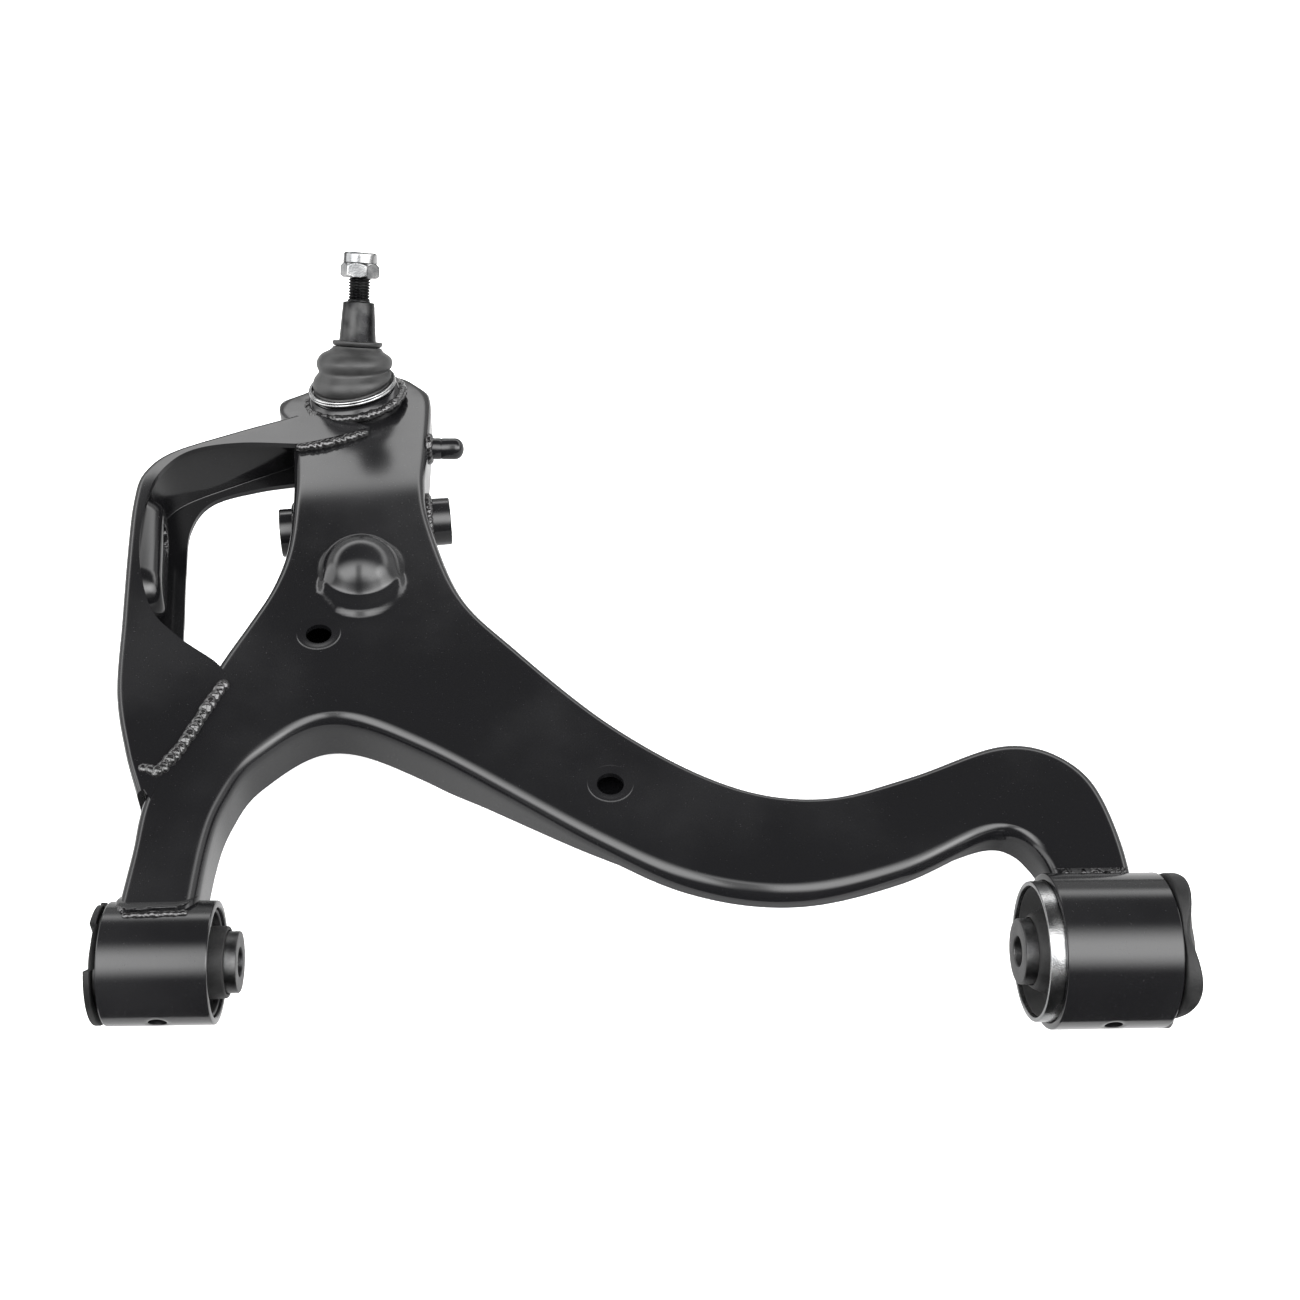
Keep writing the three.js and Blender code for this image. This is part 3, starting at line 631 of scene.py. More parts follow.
def coped(points):
    """Points of a leg's end held outside the sleeve it is welded to."""
    x, y, z = np.moveaxis(points, -1, 0)
    radius = np.where(x < 0, FRONT_R, REAR_R)
    land = np.sqrt(np.maximum(radius**2 - z**2, 0)) - COPE_OVERLAP
    within = ((x < COPE_FRONT) | (x > COPE_REAR)) & (y < COPE_Y)
    return np.stack([x, np.where(within, np.maximum(y, land), y), z], axis=-1)


OUTLINE, EDGE = arm_outline()
print("arm outline", len(OUTLINE), "points")

# %% [markdown]
# ## Upper shell
#
# The upper shell is one pressing: a flat top with a rounded edge that turns down into
# walls, a dome with a crescent ledge beside it, and two paint holes that sit in shallow
# dimples. The walls and the edge are rings of the outline, moved inwards and upwards. The
# top is a filled outline whose height is a formula in x and y.

# %% Upper shell
DOME_X, DOME_Y, DOME_Z, DOME_R = -166.3, 272.0, 22.0, 27.5
DOME_SINK = 1.6
LEDGE_X, LEDGE_Y, LEDGE_R, LEDGE_H = -165.0, 256.0, 26.0, 3.4
DIMPLE_R, DIMPLE_RIM, DIMPLE_DEPTH = 13.2, 0.3, 0.5
HOLES = [(-188.5, 216.1), (-14.1, 98.4)]
HOLE_R = 7.8
UPPER_WALL, LOWER_WALL = 3.6, 3.2
WALL_END = 6.0


def larger(a, b, soft):
    """The larger of two heights, with the corner between them rounded over soft mm."""
    mix = np.clip(0.5 + 0.5 * (a - b) / soft, 0, 1)
    return b + (a - b) * mix + soft * mix * (1 - mix)


def relief(x, y):
    """Height added to the flat top by the dome, its ledge and the dimples round holes."""
    from_dome = np.hypot(x - DOME_X, y - DOME_Y)
    dome = DOME_Z - PLATE_TOP + np.sqrt(np.maximum(DOME_R**2 - from_dome**2, 0))
    dome = np.where(from_dome < DOME_R, dome, DOME_Z - PLATE_TOP) - DOME_SINK
    from_cut = (x + 189) * 0.81 + (y - 250) * 0.58 + 1.5
    within = np.minimum(LEDGE_R - np.hypot(x - LEDGE_X, y - LEDGE_Y), from_cut)
    ledge = LEDGE_H * eased((within + 3) / 7)
    height = np.maximum(larger(dome, ledge, 6.0), 0)
    for hole_x, hole_y in HOLES:
        apart = np.hypot(x - hole_x, y - hole_y)
        rim, dish = eased(DIMPLE_R + 0.5 - apart), eased((DIMPLE_R - apart) / 6)
        height = height - DIMPLE_RIM * rim - DIMPLE_DEPTH * dish
    return height


def wall_rows(loop, low, high, rows):
    """Rows of points that rise evenly from low to high over a loop."""
    rise = np.linspace(0, 1, rows)[:, None]
    wall = np.empty((rows, len(loop), 3))
    wall[..., :2] = loop
    wall[..., 2] = low + rise * (high - low)
    return wall


def turned_in(loop, radius, turns, softening):
    """The loop moved inwards by radius * (1 - cos t) for each turn t, and softened as much."""
    normal = outward(loop)
    return [
        softened(loop - normal * radius * (1 - math.cos(t)), softening * (1 - math.cos(t)))
        for t in turns
    ]


def upper_shell():
    """Wall, rounded edge and a filled top with finer points at its dome, holes and bend."""
    wall_top = top_of(*OUTLINE.T) - EDGE[:, 0]
    wall = wall_rows(OUTLINE, underside_of(*OUTLINE.T) + WALL_END, wall_top, 7)
    turns = np.linspace(0, np.pi / 2, 9)[1:]
    rings = turned_in(OUTLINE, EDGE, turns, 60)
    edge = np.stack([
        np.column_stack([ring, top_of(*ring.T) - EDGE[:, 0] * (1 - math.sin(t))])
        for ring, t in zip(rings, turns)
    ])
    skin = np.vstack([wall, edge])
    reach = [*np.arange(1.5, 22, 1.7), *np.arange(22.5, 31, 0.8), *np.arange(32, 48, 1.5)]
    round_dome = [circle(DOME_X, DOME_Y, r, 110) for r in reach]
    rims = [HOLE_R + 0.6, HOLE_R + 1.6, 10.6, 11.6, 12.4, 12.8, 13.2, 13.6, 14.1, 15.2]
    round_holes = [circle(x, y, r, 64) for x, y in HOLES for r in rims]
    bend = lattice(np.arange(-215, -130, 7), np.arange(-44, 44, 3.5))
    bend[:, 1] += BEND_Y + (bend[:, 0] - BEND_X) * math.tan(BEND_YAW)
    holes = [circle(x, y, HOLE_R, 64) for x, y in HOLES]
    extra = np.vstack([*round_dome, *round_holes])
    extra = np.vstack([extra, bend[far_from(bend, extra, 2.5)]])
    flat, faces = filled(rings[-1], holes, extra)
    cap = np.column_stack([flat, top_of(*flat.T) + relief(*flat.T)])
    points, faces = joined((skin, quads(*skin.shape[:2], wrap=True)), (cap, faces))
    return coped(leaned(points)), faces


make("upper_shell_pressing", upper_shell(), "black_paint", ["upper_shell"], wall=UPPER_WALL)

# %% [markdown]
# ## Lower shell
#
# The lower shell sits inside the upper one like a tray. Its own walls show as a narrow
# band under the upper shell's edge, and its bottom closes the arm from below.

# %% Lower shell
TRAY_GAP, TRAY_EDGE, TRAY_WALL = 0.4, 4.0, 11.0


def lower_shell():
    """The outline moved in by a sheet and a gap: a wall, a rounded edge and a flat bottom."""
    loop = softened(OUTLINE - outward(OUTLINE) * (SHEET + TRAY_GAP), 12)
    turns = np.linspace(0, np.pi / 2, 6)
    rings = turned_in(loop, TRAY_EDGE, turns, 30)
    edge = np.stack([
        np.column_stack([ring, underside_of(*ring.T) + TRAY_EDGE * (1 - math.sin(t))])
        for ring, t in zip(rings, turns)
    ])
    base = underside_of(*loop.T) + TRAY_EDGE
    wall = wall_rows(loop, base + TRAY_WALL, base, 4)[:-1]
    flat, faces = filled(rings[-1], step=10)
    tray = np.column_stack([flat, underside_of(*flat.T)])
    skin = np.vstack([wall, edge])
    points, faces = joined((skin, quads(*skin.shape[:2], wrap=True)), (tray, faces))
    return coped(leaned(points)), faces


make("lower_shell_pressing", lower_shell(), "black_paint", ["lower_shell"], wall=LOWER_WALL)

# %% [markdown]
# ## Damper bracket
#
# The bracket is a channel, open towards the arm, bent round the space for the damper's
# lower eye. Its section has a top flange, a web and a bottom flange. The web, its rounded
# corners and the bottom flange are rows of points along the outer edge. The top flange,
# with the ear that laps onto the neck, is a filled outline. A pad is pressed into the web,
# and it carries the bolt hole.

# %% Damper bracket
BRACKET_EDGE = [
    [-279.5, 95], [-291, 127], [-302.5, 171.5], [-308.5, 230], [-314.5, 292], [-317.5, 335],
    [-315.5, 364], [-301, 388], [-264, 411], [-234, 427], [-222, 433.5],
]
TOP_INNER = [
    [0, -271, 90], [0.06, -262.5, 118], [0.11, -254, 139], [0.18, -246, 161], [0.245, -240, 177],
    [0.29, -246, 191], [0.345, -272.9, 214], [0.41, -292.8, 239.5], [0.54, -306.5, 289.5],
    [0.68, -308, 340.5], [0.78, -300.5, 371], [0.86, -285, 389.5], [0.93, -256, 397],
    [1, -217, 395.5],
]
BOTTOM_INNER = [
    [0, -268, 100], [0.1, -255, 135], [0.22, -243, 175], [0.3, -250, 200], [0.36, -268, 217],
    [0.43, -280, 243], [0.54, -285, 283], [0.64, -289, 323], [0.75, -291, 362], [0.83, -280, 389],
    [0.92, -250, 403], [1, -214, 411],
]
BRACKET_BOTTOM = -28.0
BRACKET_RADIUS, BRACKET_SHEET = 4.6, 3.6
CORNER_ROWS, WEB_ROWS = 9, 38
EAR = [[-208, 431], [-190, 426.5], [-170, 416], [-193, 404], [-211, 397]]
DAMPER = np.array([-170, 336.5, 3.0])
DAMPER_YAW = math.radians(6.4)
DAMPER_AXIS = np.array([math.cos(DAMPER_YAW), math.sin(DAMPER_YAW), 0])
PAD_FACE, PAD_HOLE = -128.5, 9.0
PAD_REACH, PAD_SLOPE_WIDTH, PAD_YAW = 24.0, 12.0, 0.11
HOLE_SNAP = 1.3


def keyed(keys, count):
    """A smooth curve through x, y points, each at its own place from 0 to 1."""
    keys = np.asarray(keys, float)
    fine = smooth(np.column_stack([keys[:, 0] * 300, keys[:, 1:]]), 800)
    order = np.linspace(0, 300, count)
    return np.stack([np.interp(order, fine[:, 0], axis) for axis in fine.T[1:]], axis=-1)


def sideways(line):
    """Unit normals on the left of a line of 2-D points."""
    tangent = unit(np.gradient(line, axis=0))
    return np.stack([-tangent[:, 1], tangent[:, 0]], axis=-1)


def bracket_top(x, y):
    """The flange is level with the arm, and one sheet above the neck past its own bend."""
    beyond = past_bend(x, y) - (SHEET + 0.3) / NECK_SLOPE
    return falling(beyond, FLANGE_BEND_SOFTNESS)


WEB = smooth(BRACKET_EDGE, 420)
AWAY = sideways(WEB)
SHOULDER = WEB - AWAY * BRACKET_RADIUS


def damper_bracket():
    """Web and bottom flange as rows along the outer edge; the row index grows downwards."""
    def row(flat, height):
        return np.column_stack([flat, np.broadcast_to(height, len(flat))])

    high = bracket_top(*SHOULDER.T) - BRACKET_RADIUS
    low = BRACKET_BOTTOM + BRACKET_RADIUS
    corner = AWAY * BRACKET_RADIUS
    turns = np.linspace(0, np.pi / 2, CORNER_ROWS)
    down = np.linspace(0, 1, WEB_ROWS + 2)[1:-1]
    across = keyed(BOTTOM_INNER, len(WEB)) - SHOULDER
    sines, cosines = np.sin(turns), np.cos(turns)
    rows = [row(SHOULDER + corner * f, high + BRACKET_RADIUS * g) for f, g in zip(sines, cosines)]
    rows += [row(WEB, high * (1 - f) + low * f) for f in down]
    rows += [row(SHOULDER + corner * g, low - BRACKET_RADIUS * f) for f, g in zip(sines, cosines)]
    rows += [row(SHOULDER + across * f, BRACKET_BOTTOM) for f in np.linspace(0, 1, 8)[1:]]
    points = np.stack(rows)
    return points, quads(*points.shape[:2])


def top_flange():
    """The top flange and its ear as one filled outline: shoulder, ear, then the inner edge."""
    ear = resample(np.array([SHOULDER[-1], *EAR, TOP_INNER[-1][1:]], float), 60)[1:-1]
    loop = np.vstack([SHOULDER, ear, keyed(TOP_INNER, 260)[::-1]])
    flat, faces = filled(loop[::-1], step=5)
    return np.column_stack([flat, bracket_top(*flat.T)]), faces


def press_pad(points, faces):
    """Pushes a long pad into the web and opens the bolt hole through it.

    Across the web, each point moves inwards by a smooth step that falls from full depth
    to nothing between two distances from the pad's centre line. The points nearest to the
    bolt hole's circle are moved onto it.
    """
    from_line = points - (DAMPER + DAMPER_AXIS * PAD_FACE)
    y, z = from_line[..., 1], from_line[..., 2]
    web = np.zeros(points.shape[:2], bool)
    web[CORNER_ROWS:CORNER_ROWS + WEB_ROWS] = True
    below = np.clip(-y, -9, 44)
    reach = np.hypot(y + below, z + 0.03 * below)
    step = np.where(web, eased((PAD_REACH - reach) / PAD_SLOPE_WIDTH), 0)
    face_x = DAMPER[0] + PAD_FACE * DAMPER_AXIS[0] - SHEET - PAD_YAW * y
    moved = points.copy()
    moved[..., 0] += step * np.maximum(face_x - points[..., 0], 0)
    around = np.hypot(y, z)
    near = web & (np.abs(around - PAD_HOLE) < HOLE_SNAP)
    scale = np.where(near, PAD_HOLE / np.maximum(around, 0.1), 1)
    moved[..., 1] += np.where(near, y * (scale - 1), 0)
    moved[..., 2] += np.where(near, z * (scale - 1), 0)
    middle = around.reshape(-1)[faces].mean(1)
    open_here = (middle < PAD_HOLE) & web.reshape(-1)[faces].all(1)
    return moved, faces[~open_here]


channel, channel_faces = press_pad(*damper_bracket())
flange, flange_faces = top_flange()
pressing = joined((leaned(channel), channel_faces), (leaned(flange), flange_faces))
make("damper_bracket_pressing", pressing, "black_paint", ["damper_bracket"], wall=BRACKET_SHEET)

# %% [markdown]
# ## Bush sleeves
#
# Each leg ends on a sleeve, a short length of tube with a drain hole on its inboard side.
# The outside is a flat strip with a round hole, filled with triangles and then rolled
# round the axis, so the hole has a clean edge. The rest is a lathe.

# %% Sleeves
DRAIN_R = 5.0
DRAIN_ANGLE = math.atan2(-0.24, -0.97)
DRAIN_DIP = 0.35
SLEEVE_SIDES, SLEEVE_STEPS, HOLE_SIDES = 120, 16, 40


def sleeve(left, right, radius, chamfer=0.8):
    """Outside rolled from a strip: angle = distance across / radius. Ends and bore turned."""
    across = np.linspace(-np.pi * radius, np.pi * radius, SLEEVE_SIDES + 1)
    along = np.linspace(left + chamfer, right - chamfer, SLEEVE_STEPS)
    loop = np.vstack([
        np.column_stack([across[:-1], np.full(SLEEVE_SIDES, along[0])]),
        np.column_stack([np.full(SLEEVE_STEPS - 1, across[-1]), along[:-1]]),
        np.column_stack([across[:0:-1], np.full(SLEEVE_SIDES, along[-1])]),
        np.column_stack([np.full(SLEEVE_STEPS - 1, across[0]), along[:0:-1]]),
    ])
    middle = (left + right) / 2
    hole = circle(0, middle, DRAIN_R, HOLE_SIDES)
    rings = np.vstack([circle(0, middle, DRAIN_R + gap, HOLE_SIDES) for gap in (0.5, 1.2, 3, 6)])
    even = lattice(across[1:-1], along[1:-1])
    even = even[far_from(even, rings, 1.5)]
    flat, faces = filled(loop, [hole], np.vstack([rings, even]), step=1000)
    from_hole = np.hypot(flat[:, 0], flat[:, 1] - middle) - DRAIN_R
    dip = DRAIN_DIP * np.clip(1 - from_hole / 1.2, 0, 1)

    def rolled(strip, at_radius):
        angle = DRAIN_ANGLE + strip[:, 0] / radius
        return np.column_stack([strip[:, 1], at_radius * np.cos(angle), at_radius * np.sin(angle)])

    outside = rolled(flat, radius - dip)
    bore_radii = np.linspace(radius - DRAIN_DIP, radius - SHEET, 4)
    bore = np.stack([rolled(hole, bore_radius) for bore_radius in bore_radii])
    angle = DRAIN_ANGLE + across[:-1] / radius
    inner = radius - SHEET
    ends = np.array([
        [radius, right - chamfer], [radius - 0.3, right - 0.25], [radius - chamfer, right],
        [inner + 0.6, right], [inner, right - 0.6], [inner, left + 0.6], [inner + 0.6, left],
        [radius - chamfer, left], [radius - 0.3, left + 0.25], [radius, left + chamfer],
    ])
    ring = np.stack([
        np.broadcast_to(ends[:, 1:], (len(ends), SLEEVE_SIDES)),
        ends[:, :1] * np.cos(angle),
        ends[:, :1] * np.sin(angle),
    ], axis=-1)
    return joined((outside, faces), (bore, quads(*bore.shape[:2], wrap=True)),
                  (ring, quads(*ring.shape[:2], wrap=True)))


make("front_bush_sleeve", sleeve(FRONT_LEFT, FRONT_RIGHT, FRONT_R), "black_paint",
     ["front_bush_housing_sleeve"], crease=28)
make("rear_bush_sleeve", sleeve(REAR_LEFT, REAR_RIGHT, REAR_R), "black_paint",
     ["rear_bush_housing_sleeve"], crease=28)

# %% [markdown]
# ## Bushes
#
# A bush is a steel core, rubber round it and a press shell that is pressed into the
# sleeve. All are turned shapes. The front bush has two voids in its rubber and a flange in
# segments of different height. The rear rubber is drawn in between core and shell, and its
# end stop has four lobes.

# %% Front bush
FLANGE_BACK, FLANGE_DROP, FLANGE_CUT = -287.7, 2.2, 3.2
VOID_DEPTH, VOID_INNER, VOID_OUTER, VOID_BLEND = 22, 20.4, 26.3, 0.8


def front_flange(radius, along, angle):
    """Drops the flange between its segments, and pushes two voids into the inner end."""
    turn = np.degrees(angle) % 360
    tall = ((turn > 38) & (turn < 142)) | ((turn > 218) & (turn < 300))
    tab = (turn > 315) & (turn < 352)
    drop = (along < FLANGE_BACK) * (1 - tall - 0.8 * tab)
    from_top = np.abs((turn + 90) % 180 - 90)
    void = (along > -250) * np.clip((52 - from_top) / 8, 0, 1)
    void = void * np.clip((radius - VOID_INNER) / VOID_BLEND, 0, 1)
    void = void * np.clip((VOID_OUTER - radius) / VOID_BLEND, 0, 1)
    radius = radius - drop * np.clip(radius - 28, 0, FLANGE_CUT)
    return radius, along + drop * FLANGE_DROP - void * VOID_DEPTH, angle


def on_pivot(profile, radius, steps=3, sides=96, shape=None):
    """A rounded profile turned round the pivot axis."""
    return lathe(rounded(profile, radius, steps), ORIGIN, X_AXIS, sides, shape=shape)


make("front_bush_press_ring", on_pivot([
    [26.8, -287.4], [28.8, -287.4], [28.8, -229.5], [26.8, -229.5],
], 0.7), "core_steel", ["front_bush_press_shell"], crease=50)
end_face = [[r, -234.5] for r in np.linspace(26.2, 20.4, 13)]
make("front_bush_moulding", on_pivot([
    [16.9, -290.2], [32.6, -291.2], [32.6, -287.7], [26.5, -287.6], [26.5, -232.5], *end_face,
    [19.6, -233], [19.2, -221.8], [16.9, -221.6],
], 0.9, sides=192, shape=front_flange), "bush_rubber", ["front_bush_rubber"], crease=50)
make("front_bush_core", on_pivot([
    [8, -292.4], [16.5, -292.4], [16.5, -215.7], [8, -215.7],
], 0.7), "core_steel", ["front_bush_core_sleeve"], body="front_bush_core", crease=50)

# %% Rear bush
LOBES, LOBE_ANGLE = 4, math.radians(65)
LOBE_REACH, LOBE_INSET, LOBE_LIFT, LOBE_DROP = 7.0, 3.4, 7.5, 8.5


def lobed(radius, along, angle):
    """Rounded lobes: radius and outer face swing by a cosine of four times the angle."""
    swing = np.clip((radius - 30) / 12, 0, 1)
    outer = np.clip((along - 290) / 10, 0, 1)
    wave = 0.5 + 0.5 * np.cos(LOBES * (angle - LOBE_ANGLE))
    lobe = np.minimum(wave**0.8 + 0.12 * np.sin(3 * angle + 0.7), 1)
    radius = radius + swing * (LOBE_REACH * lobe - LOBE_INSET)
    return radius, along + outer * swing * (LOBE_LIFT * lobe - LOBE_DROP), angle


make("rear_bush_press_ring", on_pivot([
    [36, 217.2], [38.6, 217.2], [38.6, 288.5], [36, 288.5],
], 0.8), "zinc_plate", ["rear_bush_press_shell"], crease=50)
make("rear_bush_moulding", on_pivot([
    [18.5, 216], [20.5, 217.5], [24, 226], [29, 228.5], [33.5, 222.5], [35.7, 219], [35.7, 286.4],
    [18.5, 286.4],
], 1.6, 4, 128), "bush_rubber", ["rear_bush_rubber"], crease=50)
make("rear_bush_end_lobes", on_pivot([
    [18.5, 289.6], [42.6, 289.6], [42.6, 300.8], [24, 300.8], [18.5, 299.4],
], 2.6, 5, 160, lobed), "bush_rubber", ["rear_bush_end_stop"], crease=50)
make("rear_bush_core", on_pivot([
    [8.4, 209.8], [18.1, 209.8], [18.1, 304.2], [8.4, 304.2],
], 0.9), "core_steel", ["rear_bush_core_sleeve"], body="rear_bush_core", crease=50)

# %% [markdown]
# ## Damper tube and side peg
#
# A thick tube crosses the neck and sticks out on both sides: the damper's bolt goes
# through it. A short round peg with a domed end stands out of the neck's rear side.

# %% Tube and peg
tube = rounded([[7.8, -55.4], [15.9, -55.4], [15.9, 56.9], [7.8, 56.9]], 1.0)
make("damper_cross_tube_turned", lathe(tube, DAMPER, DAMPER_AXIS), "black_paint",
     ["damper_cross_tube"], crease=50)

PEG, PEG_R, PEG_END, PEG_DOME = (0, 405, 13), 7.4, -105.6, 6
dome = [
    [PEG_R * math.cos(t), PEG_END - PEG_DOME + PEG_DOME * math.sin(t)]
    for t in np.linspace(0, np.pi / 2, 9)[:-1]
]
peg = [
    [0, -131.1], [PEG_R, -131.1], [PEG_R, -122], [7.0, -121.2], [PEG_R, -120.4], *dome,
    [0, PEG_END],
]
make("side_peg_turned", lathe(peg, PEG, X_AXIS, 64, closed=False), "black_paint",
     ["side_peg"], crease=50)

# %% [markdown]
# ## Ball joint
#
# The housing is a forged cup with a neck that carries the boot. The stud leans in it
# towards the knuckle. Seat, spring washer and cover plate close it from below.

# %% Housing and inner pieces
BALL = np.array([-183.5, 456.1, 13.5])
HOUSING_AXIS = unit(np.array([-0.138, 0.224, 0.965]))
STUD_AXIS = unit(np.array([0.054, 0.59, 0.805]))


def on_housing(profile, radius, steps=3, sides=112):
    """A rounded profile turned round the housing's axis, measured from the ball's centre."""
    return lathe(rounded(profile, radius, steps), BALL, HOUSING_AXIS, sides)


def ball_arc(radius, low, high, count):
    """Points on a circle about the ball's centre, between two heights."""
    turn = np.linspace(math.asin(low / radius), math.asin(high / radius), count)
    return [[radius * math.cos(t), radius * math.sin(t)] for t in turn]


make("ball_joint_forging", on_housing([
    [20.8, -20.9], [32.9, -20.9], [32.9, 4.5], [30.5, 7.4], [27.8, 8.2], [23, 8.4], [23, 12.4],
    [20.6, 12.4], [16, 8.5], [16, 6.4], [20.8, 6.3],
], 1.0), "black_paint", ["ball_joint_housing"], crease=45)
seat = [[20.4, -13.4], [20.4, 5.9], *ball_arc(16.6, 5.9, -13.4, 14)]
make("ball_seat_ring", lathe(seat, BALL, HOUSING_AXIS), "seat_plastic", ["ball_seat"])
make("seat_spring", on_housing([
    [9.1, -15.8], [19.4, -15.1], [19.4, -13.9], [9.1, -14.7],
], 0.3, 2, 96), "core_steel", ["seat_spring_washer"], crease=50)
cover = [[0, -19.6], [14, -19.9], [19.6, -19.9], [20.4, -19.2], [20.4, -17.6], [0, -17.6]]
make("housing_cover", lathe(cover, BALL, HOUSING_AXIS, closed=False), "core_steel",
     ["housing_cover_plate"], crease=50)

# %% [markdown]
# ## Stud and nut
#
# The stud has a ball, a waisted neck, a long taper and a thread of two millimetres pitch.
# The thread is real: its radius follows the distance along in pitches less the turn. The
# nut is a hexagon whose corners are cut by a cone, with a turned collar on top.

# %% Stud
THREAD_START, THREAD_END, THREAD_R = 69.3, 98.7, 7.9
PITCH, THREAD_DEPTH = 2.0, 1.3


def stud():
    """Radius from the profile; on the thread it swings by the phase of a helix."""
    body = np.array([
        [0, -12.8], [8.8, -12.8], *ball_arc(15.9, -12.6, 13.8, 26), [8, 15], [8, 22], [9.2, 28],
        [11.8, 34], [13, 38], [12.95, 41.6], [11.1, 67.6], [10.7, 68.4], [8.9, 68.6],
        [THREAD_R, 69.0],
    ])
    steps = np.arange(THREAD_START + 0.1, THREAD_END - 0.2, 0.2)
    end = [[6.6, THREAD_END], [0, THREAD_END]]
    profile = np.vstack([body, np.column_stack([np.full(len(steps), THREAD_R), steps]), end])

    def threaded(radius, along, angle):
        phase = (along / PITCH - angle / (2 * np.pi)) % 1
        cut = THREAD_DEPTH * np.clip(1.25 - 1.6 * np.abs(2 * phase - 1), 0, 1)
        on_thread = (along > THREAD_START) & (along < THREAD_END - 0.1)
        fade = np.clip((along - THREAD_START) / 1.5, 0, 1)
        return radius - on_thread * fade * cut, along, angle

    return lathe(profile, BALL, STUD_AXIS, 72, closed=False, shape=threaded)


make("ball_stud_turned", stud(), "oiled_steel", ["ball_stud"], body="stud", crease=50)

# %% Nut
NUT_LOW, NUT_HEX, NUT_TOP = 84.9, 95.4, 102.8
FLATS, NUT_SIDES = 12.0, 144


def nut():
    """Radius is the smaller of the hexagon's, flats / cos(angle to the flat), and a cone's."""
    angle = whole_turn(NUT_SIDES)[None, :]
    to_flat = (angle + np.pi / 6) % (np.pi / 3) - np.pi / 6
    hexagon = FLATS / np.cos(to_flat)
    corner = FLATS / math.cos(np.pi / 6)
    along = np.concatenate([
        [NUT_LOW] * 2,
        np.linspace(NUT_LOW, NUT_LOW + 1.6, 6),
        np.linspace(NUT_HEX - 2.4, NUT_HEX, 8),
    ])
    low_cone = FLATS - 0.6 + (along - NUT_LOW) * 1.6
    high_cone = FLATS - 0.5 + (NUT_HEX - along) * 0.95
    limit = np.minimum(np.minimum(low_cone, high_cone), corner)[:, None]
    radius = np.minimum(hexagon, limit)
    radius[:2] = np.array([8.3, 10.5])[:, None]
    collar = rounded([
        [11.9, NUT_HEX + 0.2], [11.7, NUT_TOP - 1.2], [10.2, NUT_TOP], [8.6, NUT_TOP - 0.4],
        [8.2, THREAD_END + 1.4],
    ], 0.9, 4, closed=False)
    top = np.vstack([[FLATS - 0.5, NUT_HEX], collar, [0.0, THREAD_END + 1.6]])
    radius = np.vstack([radius, np.broadcast_to(top[:, :1], (len(top), NUT_SIDES))])
    along = np.concatenate([along, top[:, 1]])[:, None]
    points = onto_axis(radius, along, angle, BALL, STUD_AXIS)
    return points, quads(*points.shape[:2], wrap=True)


make("stud_lock_nut", nut(), "zinc_plate", ["stud_nut"], body="stud", crease=30)

# %% [markdown]
# ## Boot, clip ring and collar
#
# The boot is a rubber bellows. It is turned upright and then bent: its centre line is a
# smooth curve from the housing's axis to the stud's, and each ring turns with it. The
# boot crosses the joint where the stud leans, and it rides on no body.

# %% Boot
CLIP_LOW, CLIP_HIGH = 9.6, 13.6
COLLAR_AT, COLLAR_HEIGHT = 41.5, 4.0
BOOT_WALL, BOOT_SPREAD = 2.3, 40
BOOT = [
    [27.2, 0.0], [27.4, 0.04], [26.8, 0.06], [27.3, 0.08], [27.5, 0.10], [26.8, 0.12],
    [27.2, 0.15], [27.7, 0.19], [27.5, 0.24], [26.6, 0.29], [25.0, 0.34], [24.0, 0.38],
    [24.0, 0.41], [24.9, 0.45], [25.8, 0.50], [26.3, 0.56], [26.3, 0.63], [25.9, 0.70],
    [24.9, 0.77], [23.1, 0.83], [20.6, 0.88], [18.4, 0.93], [17.4, 0.97], [17.0, 1.0],
]


def turn_to(direction):
    """Rotation that takes the vertical to a direction by the shortest way."""
    return np.array(Vector((0, 0, 1)).rotation_difference(Vector(direction)).to_matrix())


